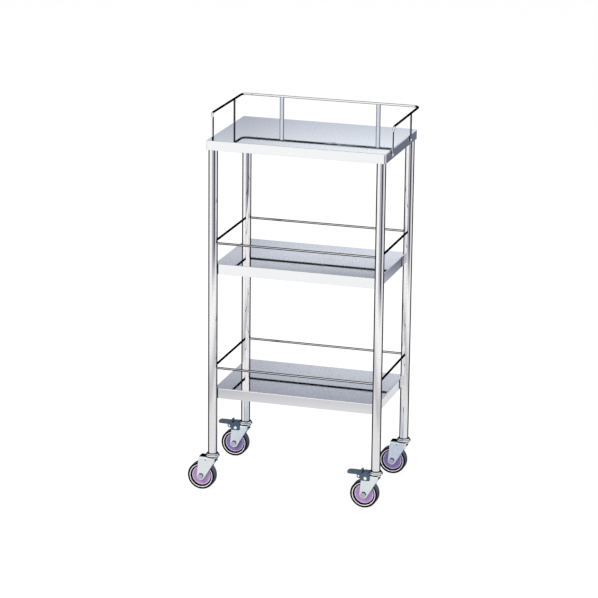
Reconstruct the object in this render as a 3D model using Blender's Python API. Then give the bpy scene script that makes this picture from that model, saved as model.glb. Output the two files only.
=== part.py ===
"""Ward round trolley: a stainless steel three-deck trolley on four swivel casters.

Four upright tubes carry an inverted top pan and two lower pans, each with a rod guard.
The trolley is modelled in metres with +Z up. Its front is towards -Y and the casters trail to -X.
"""

import math

import bmesh
import bpy
from mathutils import Matrix, Vector

# Clearance that every pair of touching pieces keeps.
SEAT_GAP = 0.0003

# Legs: upright round tubes.
LEG_SPACING_X = 0.450
LEG_SPACING_Y = 0.282
LEG_RADIUS = 0.0125
LEG_WALL = 0.0012

# Decks: folded sheet pans, open below.
TOP_SURFACE = 0.954
MIDDLE_SURFACE = 0.622
BOTTOM_SURFACE = 0.282
SHEET = 0.001
FOLD_RADIUS = 0.0022
TOP_SKIRT = 0.025
TOP_CORNER_RADIUS = 0.005
TOP_LEG_GAP_X = 0.0015
TOP_LEG_GAP_Y = 0.0008
SHELF_SKIRT = 0.0275
SHELF_INSET_X = 0.002
SHELF_INSET_Y = 0.003
SHELF_CORNER_RADIUS = 0.004

# Guard rods.
ROD_RADIUS = 0.003
SHELF_RAIL_HEIGHT = 0.057
TOP_RAIL_HEIGHT = 0.060
TOP_RAIL_CORNER_RADIUS = 0.015
TOP_RAIL_END_RADIUS = 0.008
FRONT_POST_SETBACK = 0.0595
SIDE_POST_SETBACK = 0.073
REAR_POST_SPACING = 0.266
POST_WIDTH = 0.0118
POST_THICKNESS = 0.0024
POST_NECK = 0.006
POST_SQUARENESS = 0.3
FOOT_DROP = 0.013
FOOT_END = 0.0052
FOOT_CORNER = 0.0022
RIVET_RADIUS = 0.0016
RIVET_HEAD_RADIUS = 0.0031
RIVET_HEAD_HEIGHT = 0.0013
RIVET_CROWN_RADIUS = 0.0019
RIVET_CROWN_DROP = 0.0003
RIVET_TAIL_RADIUS = 0.0026
RIVET_TAIL_HEIGHT = 0.0012

# Wheel and its tyre.
WHEEL_RADIUS = 0.0375
TYRE_WIDTH = 0.025
TYRE_THICKNESS = 0.0045
TREAD_SHOULDER = 0.0028
TREAD_SHOULDER_DROP = 0.0020
RIM_FACE_INSET = 0.0005
RIM_LIP = 0.0033
RIM_CHAMFER = 0.0007
GROOVE_WIDTH = 0.0038
GROOVE_DEPTH = 0.0075
DISC_INSET = 0.0040
BOSS_RADIUS = 0.0095
BOSS_TAPER = 0.0015

# Axle bolt and nut.
AXLE_RADIUS = 0.004
HEX_ACROSS_FLATS = 0.013
HEX_CHAMFER = 0.0009
BOLT_HEAD_HEIGHT = 0.0053
NUT_HEIGHT = 0.0065
THREAD_END = 0.0015

# Caster fork, a pressed sheet yoke, and its swivel head.
TRAIL = 0.0286
FORK_SHEET = 0.0028
FORK_FOLD_RADIUS = 0.0045
TYRE_SIDE_CLEARANCE = 0.0008
TYRE_TOP_CLEARANCE = 0.0142
FORK_REAR_REACH = 0.034
FORK_FRONT_REACH = 0.015
FORK_NOSE_RADIUS = 0.020
FORK_EYE_RADIUS = 0.0105
FORK_SHOULDER_X = 0.0066
FORK_SHOULDER_DROP = 0.0135
FORK_DRILLING_X = 0.0150
FORK_DRILLING_DROP = 0.0048
FORK_DRILLING_RADIUS = 0.0016
RACE_INNER_RADIUS = 0.0086
RACE_WIDTH = 0.0026
RACE_WELD = 0.0009
SWIVEL_GAP = 0.0018
HEAD_RADIUS = 0.019
HEAD_THICKNESS = 0.0041
HEAD_CHAMFER = 0.0013
KINGPIN_RADIUS = 0.006
CUP_SIDE_CLEARANCE = 0.0008
CUP_DEPTH = 0.0048
CUP_CHAMFER = 0.0026
CUP_EDGE = 0.0006
KINGPIN_NUT_RADIUS = 0.0060
KINGPIN_NUT_HEIGHT = 0.0046
KINGPIN_NUT_EDGE = 0.0008
STUD_RADIUS = 0.005
STUD_LENGTH = 0.030

# Threaded bush that closes the foot of each tube.
COLLAR_RADIUS = 0.0165
COLLAR_THICKNESS = 0.0033
PLUG_LENGTH = 0.036

# Wheel brake: a moulded cover, a pin through the fork and a pedal on the pin.
BRAKE_PIN_RADIUS = 0.003
BRAKE_PIN_HEAD_RADIUS = 0.0042
BRAKE_PIN_HEAD_HEIGHT = 0.0012
BRAKE_PIN_X = 0.0234
BRAKE_PIN_DROP = 0.0054
PEDAL_TRAVEL = math.radians(16.0)
PEDAL_REACH = 0.0765
PEDAL_BLADE_THICKNESS = 0.0058
PEDAL_BLADE_RISE = 0.0068
PEDAL_SIDE_CLEARANCE = 0.0010
PEDAL_BOSS_RADIUS = 0.0045
PEDAL_TOE_HEIGHT = 0.0064
PEDAL_TOE_WIDTH = 0.0096
PEDAL_TAB_REACH = 0.0480
PEDAL_TAB_DROP = 0.0023
PEDAL_TIP_RADIUS = 0.0100
PEDAL_EDGE = 0.0018
PEDAL_END_GAP = 0.0006
PEDAL_WINDOW_WIDTH = 0.0044
PEDAL_WINDOW_HEIGHT = 0.0062
PEDAL_WINDOW_CORNER = 0.0019
PEDAL_HOLLOW = 0.0088
PEDAL_CHEEK = 0.0022
SHOE_X = 0.0095
SHOE_DROP = 0.0028
SHOE_CLEARANCE = 0.0004
SHOE_START = math.radians(200)
SHOE_END = math.radians(320)
COVER_REAR = 0.0360
COVER_FRONT = 0.0115
COVER_WALL = 0.0022
COVER_RISE = 0.0037
COVER_SKIRT = 0.0148
COVER_HEAD_CLEARANCE = 0.0006
COVER_TOE_GAP = 0.0020
COVER_ROUNDING = 0.0016
COVER_SLOT_LENGTH = 0.0080
COVER_SLOT_WIDTH = 0.0060
COVER_SLOT_DEPTH = 0.0008

# Facets round each kind of round piece.
WHEEL_FACETS = 30
HUB_FACETS = 20
TUBE_FACETS = 18
HEAD_FACETS = 16
ROD_FACETS = 10
PIN_FACETS = 12
BEND_STEPS = 4

# Sizes that follow from the ones above.
leg_x = LEG_SPACING_X / 2
leg_y = LEG_SPACING_Y / 2
top_half_x = leg_x + LEG_RADIUS + TOP_LEG_GAP_X + SHEET
top_half_y = leg_y + LEG_RADIUS + TOP_LEG_GAP_Y + SHEET
shelf_half_x = leg_x - SHELF_INSET_X
shelf_half_y = leg_y - SHELF_INSET_Y
post_x = top_half_x + SEAT_GAP + ROD_RADIUS
post_y = top_half_y + SEAT_GAP + ROD_RADIUS
front_post_y = -top_half_y + FRONT_POST_SETBACK
side_post_y = top_half_y - SIDE_POST_SETBACK
top_rail_z = TOP_SURFACE + TOP_RAIL_HEIGHT
foot_z = TOP_SURFACE - FOOT_DROP

fork_inner = TYRE_WIDTH / 2 + TYRE_SIDE_CLEARANCE
fork_outer = fork_inner + FORK_SHEET
crown_under = 2 * WHEEL_RADIUS + TYRE_TOP_CLEARANCE
crown_top = crown_under + FORK_SHEET
head_bottom = crown_top + SWIVEL_GAP
head_top = head_bottom + HEAD_THICKNESS
collar_bottom = head_top + SEAT_GAP
collar_top = collar_bottom + COLLAR_THICKNESS
leg_bottom = collar_top + SEAT_GAP
leg_top = TOP_SURFACE - SHEET - SEAT_GAP

brake_pin_z = crown_under - BRAKE_PIN_DROP
cover_inner = fork_outer + SEAT_GAP
cover_outer = cover_inner + COVER_WALL
cover_top = crown_top + SEAT_GAP + COVER_RISE
cover_bottom = crown_top - COVER_SKIRT
pedal_half = fork_inner - PEDAL_SIDE_CLEARANCE

bolt_head_end = fork_outer + SEAT_GAP + BOLT_HEAD_HEIGHT
nut_end = fork_outer + SEAT_GAP + NUT_HEIGHT
bolt_thread_end = nut_end + THREAD_END

# The origin lies on the floor under the middle of the trolley's overall box.
box_low_x = -leg_x - max(PEDAL_REACH, TRAIL + WHEEL_RADIUS, HEAD_RADIUS)
box_high_x = max(post_x + ROD_RADIUS, leg_x + HEAD_RADIUS)
box_low_y = -max(leg_y + bolt_head_end, leg_y + HEAD_RADIUS, top_half_y)
box_high_y = max(leg_y + bolt_thread_end, leg_y + HEAD_RADIUS, post_y + ROD_RADIUS)
centre_x = (box_low_x + box_high_x) / 2
centre_y = (box_low_y + box_high_y) / 2

CORNERS = {
    "front_left": (-1, -1),
    "front_right": (1, -1),
    "rear_left": (-1, 1),
    "rear_right": (1, 1),
}
BRAKED = ("front_right", "rear_left")


def clear_scene():
    """Removes whatever the open file holds."""
    for item in list(bpy.data.objects):
        bpy.data.objects.remove(item, do_unlink=True)


def finish_mesh(bm, name):
    """Turns a bmesh into a mesh with its faces pointing out and smooth rounds."""
    bmesh.ops.remove_doubles(bm, verts=bm.verts, dist=1e-6)
    bmesh.ops.recalc_face_normals(bm, faces=bm.faces)
    mesh = bpy.data.meshes.new(name)
    bm.to_mesh(mesh)
    bm.free()
    return mesh


def loft(name, loops):
    """A closed skin through loops with equal point counts, capped at both ends."""
    bm = bmesh.new()
    rings = [[bm.verts.new(point) for point in loop] for loop in loops]
    for ring, following in zip(rings, rings[1:]):
        for k in range(len(ring)):
            after = (k + 1) % len(ring)
            bm.faces.new((ring[k], ring[after], following[after], following[k]))
    bm.faces.new(rings[0])
    bm.faces.new(rings[-1])
    return finish_mesh(bm, name)


def prism(name, outline, low, high, axis="Y"):
    """An outline of (u, v) points extruded along an axis from low to high."""
    places = {
        "X": lambda u, v, w: (w, u, v),
        "Y": lambda u, v, w: (u, w, v),
        "Z": lambda u, v, w: (u, v, w),
    }
    bm = bmesh.new()
    face = bm.faces.new([bm.verts.new(places[axis](u, v, low)) for u, v in outline])
    grown = bmesh.ops.extrude_face_region(bm, geom=[face])
    moved = [item for item in grown["geom"] if isinstance(item, bmesh.types.BMVert)]
    step = Vector(places[axis](0, 0, high - low))
    bmesh.ops.translate(bm, verts=moved, vec=step)
    return finish_mesh(bm, name)


def turned(name, profile, facets, closed, half_turn=False):
    """A profile of (radius, height) points spun round Z. A closed profile makes a ring."""
    bm = bmesh.new()
    verts = [bm.verts.new((radius, 0, height)) for radius, height in profile]
    ends = verts[1:] + verts[:1] if closed else verts[1:]
    edges = [bm.edges.new(pair) for pair in zip(verts, ends)]
    bmesh.ops.spin(
        bm,
        geom=verts + edges,
        cent=(0, 0, 0),
        axis=(0, 0, 1),
        angle=2 * math.pi,
        steps=facets,
        use_merge=True,
    )
    if half_turn:
        bmesh.ops.rotate(bm, verts=bm.verts, matrix=Matrix.Rotation(math.pi / facets, 3, "Z"))
    return finish_mesh(bm, name)


def arc(centre_u, centre_v, radius, start, end, steps):
    """Points on an arc, with the angles in radians."""
    points = []
    for k in range(steps + 1):
        angle = start + (end - start) * k / steps
        points.append((centre_u + radius * math.cos(angle), centre_v + radius * math.sin(angle)))
    return points


def tangent_angle(point, centre, radius, side):
    """Angle on a circle where a line from an outside point touches it, on one side or the other."""
    du = point[0] - centre[0]
    dv = point[1] - centre[1]
    return math.atan2(dv, du) + side * math.acos(radius / math.hypot(du, dv))


def rounded_rectangle(half_u, half_v, radius, steps):
    """Points round a rectangle with rounded corners, centred on zero."""
    points = []
    for corner, (sign_u, sign_v) in enumerate(((1, 1), (-1, 1), (-1, -1), (1, -1))):
        start = corner * math.pi / 2
        centre_u = sign_u * (half_u - radius)
        centre_v = sign_v * (half_v - radius)
        points += arc(centre_u, centre_v, radius, start, start + math.pi / 2, steps)
    return points


def place(name, mesh, material, parent=None, location=(0, 0, 0), rotation=(0, 0, 0)):
    """Makes a named object of a mesh, with its material, at its place under its parent."""
    item = bpy.data.objects.new(name, mesh)
    bpy.context.scene.collection.objects.link(item)
    if not mesh.materials:
        mesh.materials.append(material)
    mesh.shade_smooth()
    mesh.set_sharp_from_angle(angle=math.radians(35))
    item.parent = parent
    item.location = location
    item.rotation_euler = rotation
    return item


def empty(name, parent=None, location=(0, 0, 0)):
    """An empty that carries other objects."""
    item = bpy.data.objects.new(name, None)
    bpy.context.scene.collection.objects.link(item)
    item.parent = parent
    item.location = location
    return item


def carve(mesh, steps):
    """Applies Boolean steps of (operation, cutter mesh) to a mesh and returns the result."""
    body = bpy.data.objects.new("carving", mesh)
    bpy.context.scene.collection.objects.link(body)
    cutters = []
    for operation, cutter_mesh in steps:
        cutter = bpy.data.objects.new("cutter", cutter_mesh)
        bpy.context.scene.collection.objects.link(cutter)
        cutter.hide_render = True
        cutter.display_type = "WIRE"
        modifier = body.modifiers.new(operation.lower(), "BOOLEAN")
        modifier.operation = operation
        modifier.solver = "EXACT"
        modifier.object = cutter
        cutters.append(cutter)
    bpy.context.view_layer.update()
    graph = bpy.context.evaluated_depsgraph_get()
    result = bpy.data.meshes.new_from_object(body.evaluated_get(graph))
    result.name = mesh.name
    for item in cutters + [body]:
        bpy.data.objects.remove(item, do_unlink=True)
    bm = bmesh.new()
    bm.from_mesh(result)
    bmesh.ops.remove_doubles(bm, verts=bm.verts, dist=1e-6)
    bmesh.ops.dissolve_degenerate(bm, edges=bm.edges, dist=1e-6)
    bm.to_mesh(result)
    bm.free()
    return result


def drill(radius, place_at, direction, length, facets=PIN_FACETS):
    """A round cutter centred on a point, along X, Y or Z."""
    mesh = turned("drill", [(0, -length / 2), (radius, -length / 2), (radius, length / 2), (0, length / 2)],
                  facets, closed=False, half_turn=True)
    turns = {
        "X": Matrix.Rotation(math.pi / 2, 4, "Y"),
        "Y": Matrix.Rotation(math.pi / 2, 4, "X"),
        "Z": Matrix.Identity(4),
    }
    mesh.transform(Matrix.Translation(place_at) @ turns[direction])
    return mesh


def paint(name, colour, roughness, metallic):
    """A Principled material."""
    material = bpy.data.materials.new(name)
    material.use_nodes = True
    shader = material.node_tree.nodes["Principled BSDF"]
    shader.inputs["Base Color"].default_value = (*colour, 1.0)
    shader.inputs["Roughness"].default_value = roughness
    shader.inputs["Metallic"].default_value = metallic
    return material


def pan_mesh(name, half_x, half_y, corner_radius, skirt, height):
    """A sheet pan with its skirt folded down on all four sides, open below."""
    def loop(inset, z):
        radius = max(corner_radius - inset, SHEET)
        outline = rounded_rectangle(half_x - inset, half_y - inset, radius, BEND_STEPS - 1)
        return [(x, y, z) for x, y in outline]

    fold_inner = FOLD_RADIUS - SHEET
    fold = [k * math.pi / 4 for k in range(3)]
    outside = [loop(0, height - skirt)]
    outside += [loop(FOLD_RADIUS * (1 - math.cos(a)), height - FOLD_RADIUS * (1 - math.sin(a))) for a in fold]
    inside = [loop(SHEET, height - skirt)]
    inside += [
        loop(FOLD_RADIUS - fold_inner * math.cos(a), height - FOLD_RADIUS + fold_inner * math.sin(a))
        for a in fold
    ]
    return loft(name, outside[::-1] + inside)


def rivet_places():
    """Each guard rivet's name, its place on the skirt's outer face and its turn about Z."""
    return {
        "left_front": ((-top_half_x, front_post_y), math.pi),
        "left_rear": ((-top_half_x, side_post_y), math.pi),
        "rear_left": ((-REAR_POST_SPACING / 2, top_half_y), math.pi / 2),
        "rear_right": ((REAR_POST_SPACING / 2, top_half_y), math.pi / 2),
        "right_rear": ((top_half_x, side_post_y), 0),
        "right_front": ((top_half_x, front_post_y), 0),
    }


def rivet_drills(radius):
    """Cutters through the skirt at each rivet."""
    cutters = []
    for (x, y), turn in rivet_places().values():
        direction = "Y" if abs(math.cos(turn)) < 0.5 else "X"
        cutters.append(("DIFFERENCE", drill(radius, (x, y, foot_z), direction, 8 * SHEET)))
    return cutters


def build_decks(root, steel):
    """The top pan, with its rivet holes, and the two shelves, cut round the tubes."""
    mesh = pan_mesh("top_board", top_half_x, top_half_y, TOP_CORNER_RADIUS, TOP_SKIRT, TOP_SURFACE)
    place("top_board", carve(mesh, rivet_drills(RIVET_RADIUS + SEAT_GAP)), steel, root)
    for name, height in (("middle_shelf", MIDDLE_SURFACE), ("bottom_shelf", BOTTOM_SURFACE)):
        mesh = pan_mesh(name, shelf_half_x, shelf_half_y, SHELF_CORNER_RADIUS, SHELF_SKIRT, height)
        notches = []
        for side_x, side_y in CORNERS.values():
            at = (side_x * leg_x, side_y * leg_y, height - SHELF_SKIRT / 2)
            cutter = drill(LEG_RADIUS + SEAT_GAP, at, "Z", 2 * SHELF_SKIRT, 2 * TUBE_FACETS)
            notches.append(("DIFFERENCE", cutter))
        place(name, carve(mesh, notches), steel, root)


def build_legs(root, steel):
    """Four upright tubes, open at both ends."""
    bore = LEG_RADIUS - LEG_WALL
    profile = [(bore, leg_bottom), (LEG_RADIUS, leg_bottom), (LEG_RADIUS, leg_top), (bore, leg_top)]
    tube = turned("leg", profile, TUBE_FACETS, closed=True)
    for corner, (side_x, side_y) in CORNERS.items():
        place("leg_" + corner, tube, steel, root, (side_x * leg_x, side_y * leg_y, 0))


def post_loops(rise_to, neck):
    """Rings down a post whose skirt faces towards -X, from its top to the end of its foot.

    The rod is pressed flat against the skirt, so the strap's middle lies nearer the skirt than the
    rod's. A neck leaves the rod round at the top. The exponent squares the round section up.
    """
    shift = ROD_RADIUS - POST_THICKNESS / 2
    flat = (POST_WIDTH / 2, POST_THICKNESS / 2, POST_SQUARENESS)
    foot_end = foot_z - FOOT_END
    sections = [(rise_to, 0, (ROD_RADIUS, ROD_RADIUS, 1))] if neck else []
    sections += [
        (rise_to - neck, shift, flat),
        (foot_end + FOOT_CORNER, shift, flat),
        (foot_end, shift, (flat[0] - FOOT_CORNER, flat[1], flat[2])),
    ]
    loops = []
    for height, move, (half_width, half_depth, exponent) in sections:
        ring = []
        for step in range(ROD_FACETS):
            angle = 2 * math.pi * (step + 0.5) / ROD_FACETS
            out = math.copysign(abs(math.sin(angle)) ** exponent, math.sin(angle))
            side = math.copysign(abs(math.cos(angle)) ** exponent, math.cos(angle))
            ring.append(Vector((half_depth * out - move, half_width * side, height)))
        loops.append(ring)
    return loops


def foot_hole(x, y, direction):
    """The rivet hole through a post's foot."""
    return ("DIFFERENCE", drill(RIVET_RADIUS + SEAT_GAP, (x, y, foot_z), direction, 6 * ROD_RADIUS))


def build_top_guard(root, chrome):
    """The bent top rail, whose two front ends turn down into posts, and the four posts under it."""
    bend = TOP_RAIL_END_RADIUS
    corner = TOP_RAIL_CORNER_RADIUS
    half = []
    for angle_step in range(BEND_STEPS + 1):
        angle = angle_step / BEND_STEPS * math.pi / 2
        y = front_post_y + bend * (1 - math.cos(angle))
        z = top_rail_z - bend * (1 - math.sin(angle))
        half.append((Vector((post_x, y, z)), angle))
    down = post_loops(top_rail_z - bend, POST_NECK)[::-1]
    right = [[Vector((post_x + p.x, front_post_y + p.y, p.z)) for p in loop] for loop in down]
    for centre, angle in half[1:]:
        ring = []
        for step in range(ROD_FACETS):
            turn = 2 * math.pi * (step + 0.5) / ROD_FACETS
            side = ROD_RADIUS * math.cos(turn)
            offset = Vector((ROD_RADIUS * math.sin(turn), side * math.cos(angle), -side * math.sin(angle)))
            ring.append(centre + offset)
        right.append(ring)
    for angle_step in range(BEND_STEPS + 1):
        angle = angle_step / BEND_STEPS * math.pi / 2
        centre = Vector((post_x - corner * (1 - math.cos(angle)), post_y - corner * (1 - math.sin(angle)),
                         top_rail_z))
        outward = Vector((math.cos(angle), math.sin(angle), 0))
        ring = []
        for step in range(ROD_FACETS):
            turn = 2 * math.pi * (step + 0.5) / ROD_FACETS
            ring.append(centre + outward * ROD_RADIUS * math.sin(turn)
                        - Vector((0, 0, ROD_RADIUS * math.cos(turn))))
        right.append(ring)
    left = [[Vector((-p.x, p.y, p.z)) for p in loop] for loop in right[::-1]]
    holes = [foot_hole(side * post_x, front_post_y, "X") for side in (-1, 1)]
    place("top_rail", carve(loft("top_rail", right + left), holes), chrome, root)

    post = carve(loft("rail_post", post_loops(top_rail_z - ROD_RADIUS - SEAT_GAP, 0)), [foot_hole(0, 0, "X")])
    for name, ((x, y), turn) in rivet_places().items():
        if "front" not in name:
            outward = SEAT_GAP + ROD_RADIUS
            at = (x + outward * math.cos(turn), y + outward * math.sin(turn), 0)
            place("rail_post_" + name, post, chrome, root, at, (0, 0, turn))


def build_rivets(root, chrome):
    """One rivet through each foot and the skirt behind it: domed outside, upset inside."""
    head_base = 2 * SEAT_GAP + POST_THICKNESS
    tail_base = -SHEET - SEAT_GAP
    profile = [
        (0, head_base + RIVET_HEAD_HEIGHT),
        (RIVET_CROWN_RADIUS, head_base + RIVET_HEAD_HEIGHT - RIVET_CROWN_DROP),
        (RIVET_HEAD_RADIUS, head_base),
        (RIVET_RADIUS, head_base),
        (RIVET_RADIUS, tail_base),
        (RIVET_TAIL_RADIUS, tail_base),
        (RIVET_TAIL_RADIUS, tail_base - RIVET_TAIL_HEIGHT),
        (0, tail_base - RIVET_TAIL_HEIGHT),
    ]
    rivet = turned("post_rivet", profile, ROD_FACETS, closed=False)
    for name, ((x, y), turn) in rivet_places().items():
        place("post_rivet_" + name, rivet, chrome, root, (x, y, foot_z), (0, math.pi / 2, turn))


def build_shelf_rails(root, chrome):
    """Four straight rods round each shelf, from tube to tube."""
    reach = LEG_RADIUS + SEAT_GAP
    profile_end = [(0, 0), (ROD_RADIUS, 0)]
    for deck, height in (("middle", MIDDLE_SURFACE), ("bottom", BOTTOM_SURFACE)):
        z = height + SHELF_RAIL_HEIGHT
        sides = {
            "front": ((-leg_x + reach, -leg_y, z), LEG_SPACING_X, 0),
            "rear": ((-leg_x + reach, leg_y, z), LEG_SPACING_X, 0),
            "left": ((-leg_x, -leg_y + reach, z), LEG_SPACING_Y, math.pi / 2),
            "right": ((leg_x, -leg_y + reach, z), LEG_SPACING_Y, math.pi / 2),
        }
        for side, (start, spacing, turn) in sides.items():
            length = spacing - 2 * reach
            profile = profile_end + [(ROD_RADIUS, length), (0, length)]
            rod = turned("shelf_rail", profile, ROD_FACETS, closed=False, half_turn=True)
            place(deck + "_rail_" + side, rod, chrome, root, start, (0, math.pi / 2, turn))


def bush_mesh():
    """The threaded bush: a plug inside the tube over a collar as its foot."""
    plug_radius = LEG_RADIUS - LEG_WALL - SEAT_GAP
    bore = STUD_RADIUS + SEAT_GAP
    plug_top = collar_top + PLUG_LENGTH
    profile = [
        (bore, collar_bottom),
        (COLLAR_RADIUS, collar_bottom),
        (COLLAR_RADIUS, collar_top),
        (plug_radius, collar_top),
        (plug_radius, plug_top),
        (bore, plug_top),
    ]
    return turned("leg_bush", profile, HEAD_FACETS, closed=True)


def swivel_head_mesh():
    """Stud, head plate, kingpin, the lower cup that holds the fork's crown, and the nut under it."""
    cup_radius = fork_inner - CUP_SIDE_CLEARANCE
    cup_top = crown_under - SEAT_GAP
    cup_bottom = cup_top - CUP_DEPTH
    nut_bottom = cup_bottom - KINGPIN_NUT_HEIGHT
    profile = [
        (0, head_top + STUD_LENGTH),
        (STUD_RADIUS, head_top + STUD_LENGTH),
        (STUD_RADIUS, head_top),
        (HEAD_RADIUS - HEAD_CHAMFER, head_top),
        (HEAD_RADIUS, head_top - HEAD_CHAMFER),
        (HEAD_RADIUS, head_bottom),
        (KINGPIN_RADIUS, head_bottom),
        (KINGPIN_RADIUS, cup_top),
        (cup_radius - CUP_EDGE, cup_top),
        (cup_radius, cup_top - CUP_EDGE),
        (cup_radius, cup_bottom + CUP_CHAMFER),
        (cup_radius - CUP_CHAMFER, cup_bottom),
        (KINGPIN_NUT_RADIUS, cup_bottom),
        (KINGPIN_NUT_RADIUS, nut_bottom + KINGPIN_NUT_EDGE),
        (KINGPIN_NUT_RADIUS - KINGPIN_NUT_EDGE, nut_bottom),
        (0, nut_bottom),
    ]
    return turned("swivel_head", profile, HEAD_FACETS, closed=False)


def fork_outline():
    """Side view of the fork's cheek: straight rear edge, round eye, slanted front edge."""
    eye = (-TRAIL, WHEEL_RADIUS)
    rear_top = (-FORK_REAR_REACH, crown_top)
    shoulder = (FORK_SHOULDER_X, crown_under - FORK_SHOULDER_DROP)
    rear_angle = tangent_angle(rear_top, eye, FORK_EYE_RADIUS, 1)
    front_angle = tangent_angle(shoulder, eye, FORK_EYE_RADIUS, -1)
    if front_angle < rear_angle:
        front_angle += 2 * math.pi
    points = [rear_top]
    points += arc(*eye, FORK_EYE_RADIUS, rear_angle, front_angle, 3 * BEND_STEPS)
    points += [shoulder, (FORK_FRONT_REACH, shoulder[1]), (FORK_FRONT_REACH, crown_top)]
    return points


def fork_channel():
    """Cross-section of the yoke: an upside-down U of even sheet with folded corners."""
    lowest = WHEEL_RADIUS - 2 * FORK_EYE_RADIUS
    fold_y = fork_outer - FORK_FOLD_RADIUS
    fold_z = crown_top - FORK_FOLD_RADIUS
    inner_fold = FORK_FOLD_RADIUS - FORK_SHEET
    quarter = math.pi / 2
    outer = [(fork_outer, lowest)] + arc(fold_y, fold_z, FORK_FOLD_RADIUS, 0, quarter, BEND_STEPS)
    inner = arc(fold_y, fold_z, inner_fold, quarter, 0, BEND_STEPS - 2) + [(fork_inner, lowest)]
    left_outer = [(-y, z) for y, z in outer[::-1]]
    left_inner = [(-y, z) for y, z in inner[::-1]]
    return outer + left_outer + left_inner + inner


def fork_mesh(braked):
    """The pressed fork with its ball race, kingpin hole, axle holes and brake or spare drillings."""
    span = FORK_REAR_REACH + FORK_FRONT_REACH + TRAIL
    channel = prism("fork", fork_channel(), -span, span, "X")
    outline = prism("outline", fork_outline(), -2 * fork_outer, 2 * fork_outer, "Y")
    nose_x = FORK_FRONT_REACH - FORK_NOSE_RADIUS
    nose = arc(nose_x, 0, FORK_NOSE_RADIUS, -math.pi / 2, math.pi / 2, 2 * BEND_STEPS)
    plan = prism("plan", nose + [(-span, FORK_NOSE_RADIUS), (-span, -FORK_NOSE_RADIUS)],
                 0, crown_top + FORK_SHEET, "Z")
    race_outer = RACE_INNER_RADIUS + RACE_WIDTH
    race_top = head_bottom - SEAT_GAP
    race_root = crown_top - RACE_WELD
    race = turned("race", [(RACE_INNER_RADIUS, race_root), (race_outer, race_root), (race_outer, race_top),
                           (RACE_INNER_RADIUS, race_top)], HEAD_FACETS, closed=True)
    through = 3 * fork_outer
    steps = [
        ("INTERSECT", outline),
        ("INTERSECT", plan),
        ("UNION", race),
        ("DIFFERENCE", drill(KINGPIN_RADIUS + SEAT_GAP, (0, 0, crown_top), "Z", 4 * FORK_SHEET, HEAD_FACETS)),
        ("DIFFERENCE", drill(AXLE_RADIUS + SEAT_GAP, (-TRAIL, 0, WHEEL_RADIUS), "Y", through)),
    ]
    if braked:
        at = (-BRAKE_PIN_X, 0, brake_pin_z)
        steps.append(("DIFFERENCE", drill(BRAKE_PIN_RADIUS + SEAT_GAP, at, "Y", through)))
    else:
        at = (-FORK_DRILLING_X, 0, crown_under - FORK_DRILLING_DROP)
        steps.append(("DIFFERENCE", drill(FORK_DRILLING_RADIUS, at, "Y", through)))
    return carve(channel, steps)


def tyre_mesh():
    """The rubber tread ring. A flat facet of it stands on the floor."""
    spread = 1 / math.cos(math.pi / WHEEL_FACETS)
    half = TYRE_WIDTH / 2
    inner = (WHEEL_RADIUS - TYRE_THICKNESS) * spread
    profile = [
        (inner, -half),
        ((WHEEL_RADIUS - TREAD_SHOULDER_DROP) * spread, -half),
        (WHEEL_RADIUS * spread, -half + TREAD_SHOULDER),
        (WHEEL_RADIUS * spread, half - TREAD_SHOULDER),
        ((WHEEL_RADIUS - TREAD_SHOULDER_DROP) * spread, half),
        (inner, half),
    ]
    return turned("tyre", profile, WHEEL_FACETS, closed=True, half_turn=True)


def hub_mesh():
    """The moulded wheel centre: rim with a raised lip, a groove, a flat disc and a long boss."""
    rim = WHEEL_RADIUS - TYRE_THICKNESS - SEAT_GAP
    face = TYRE_WIDTH / 2 - RIM_FACE_INSET
    lip_inner = rim - RIM_LIP
    groove_inner = lip_inner - GROOVE_WIDTH
    disc_face = face - DISC_INSET
    groove_face = face - GROOVE_DEPTH
    boss_face = fork_inner - SEAT_GAP
    upper = [
        (AXLE_RADIUS + SEAT_GAP, boss_face),
        (BOSS_RADIUS, boss_face),
        (BOSS_RADIUS + BOSS_TAPER, disc_face),
        (groove_inner, disc_face),
        (groove_inner, groove_face),
        (lip_inner, groove_face),
        (lip_inner, face),
        (rim - RIM_CHAMFER, face),
        (rim, face - RIM_CHAMFER),
    ]
    lower = [(radius, -height) for radius, height in upper[::-1]]
    return turned("hub", upper + lower, HUB_FACETS, closed=True)


def hex_loop(across_flats, height):
    """A hexagon as twelve points: its corners and the middles of its sides."""
    points = []
    for k in range(12):
        radius = across_flats / 2 / (math.cos(math.pi / 6) if k % 2 == 0 else 1.0)
        angle = k * math.pi / 6
        points.append((radius * math.cos(angle), radius * math.sin(angle), height))
    return points


def round_loop(radius, height):
    """A circle as twelve points in step with hex_loop."""
    steps = [k * math.pi / 6 for k in range(12)]
    return [(radius * math.cos(a), radius * math.sin(a), height) for a in steps]


def axle_bolt_mesh():
    """The hexagon bolt through the fork and the hub, with its head towards +Z."""
    head_base = fork_outer + SEAT_GAP
    return loft("axle_bolt", [
        round_loop(AXLE_RADIUS - 2 * SEAT_GAP, -bolt_thread_end),
        round_loop(AXLE_RADIUS, -bolt_thread_end + THREAD_END / 2),
        round_loop(AXLE_RADIUS, head_base),
        hex_loop(HEX_ACROSS_FLATS, head_base),
        hex_loop(HEX_ACROSS_FLATS, bolt_head_end - HEX_CHAMFER),
        round_loop(HEX_ACROSS_FLATS / 2 - HEX_CHAMFER / 2, bolt_head_end),
    ])


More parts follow.
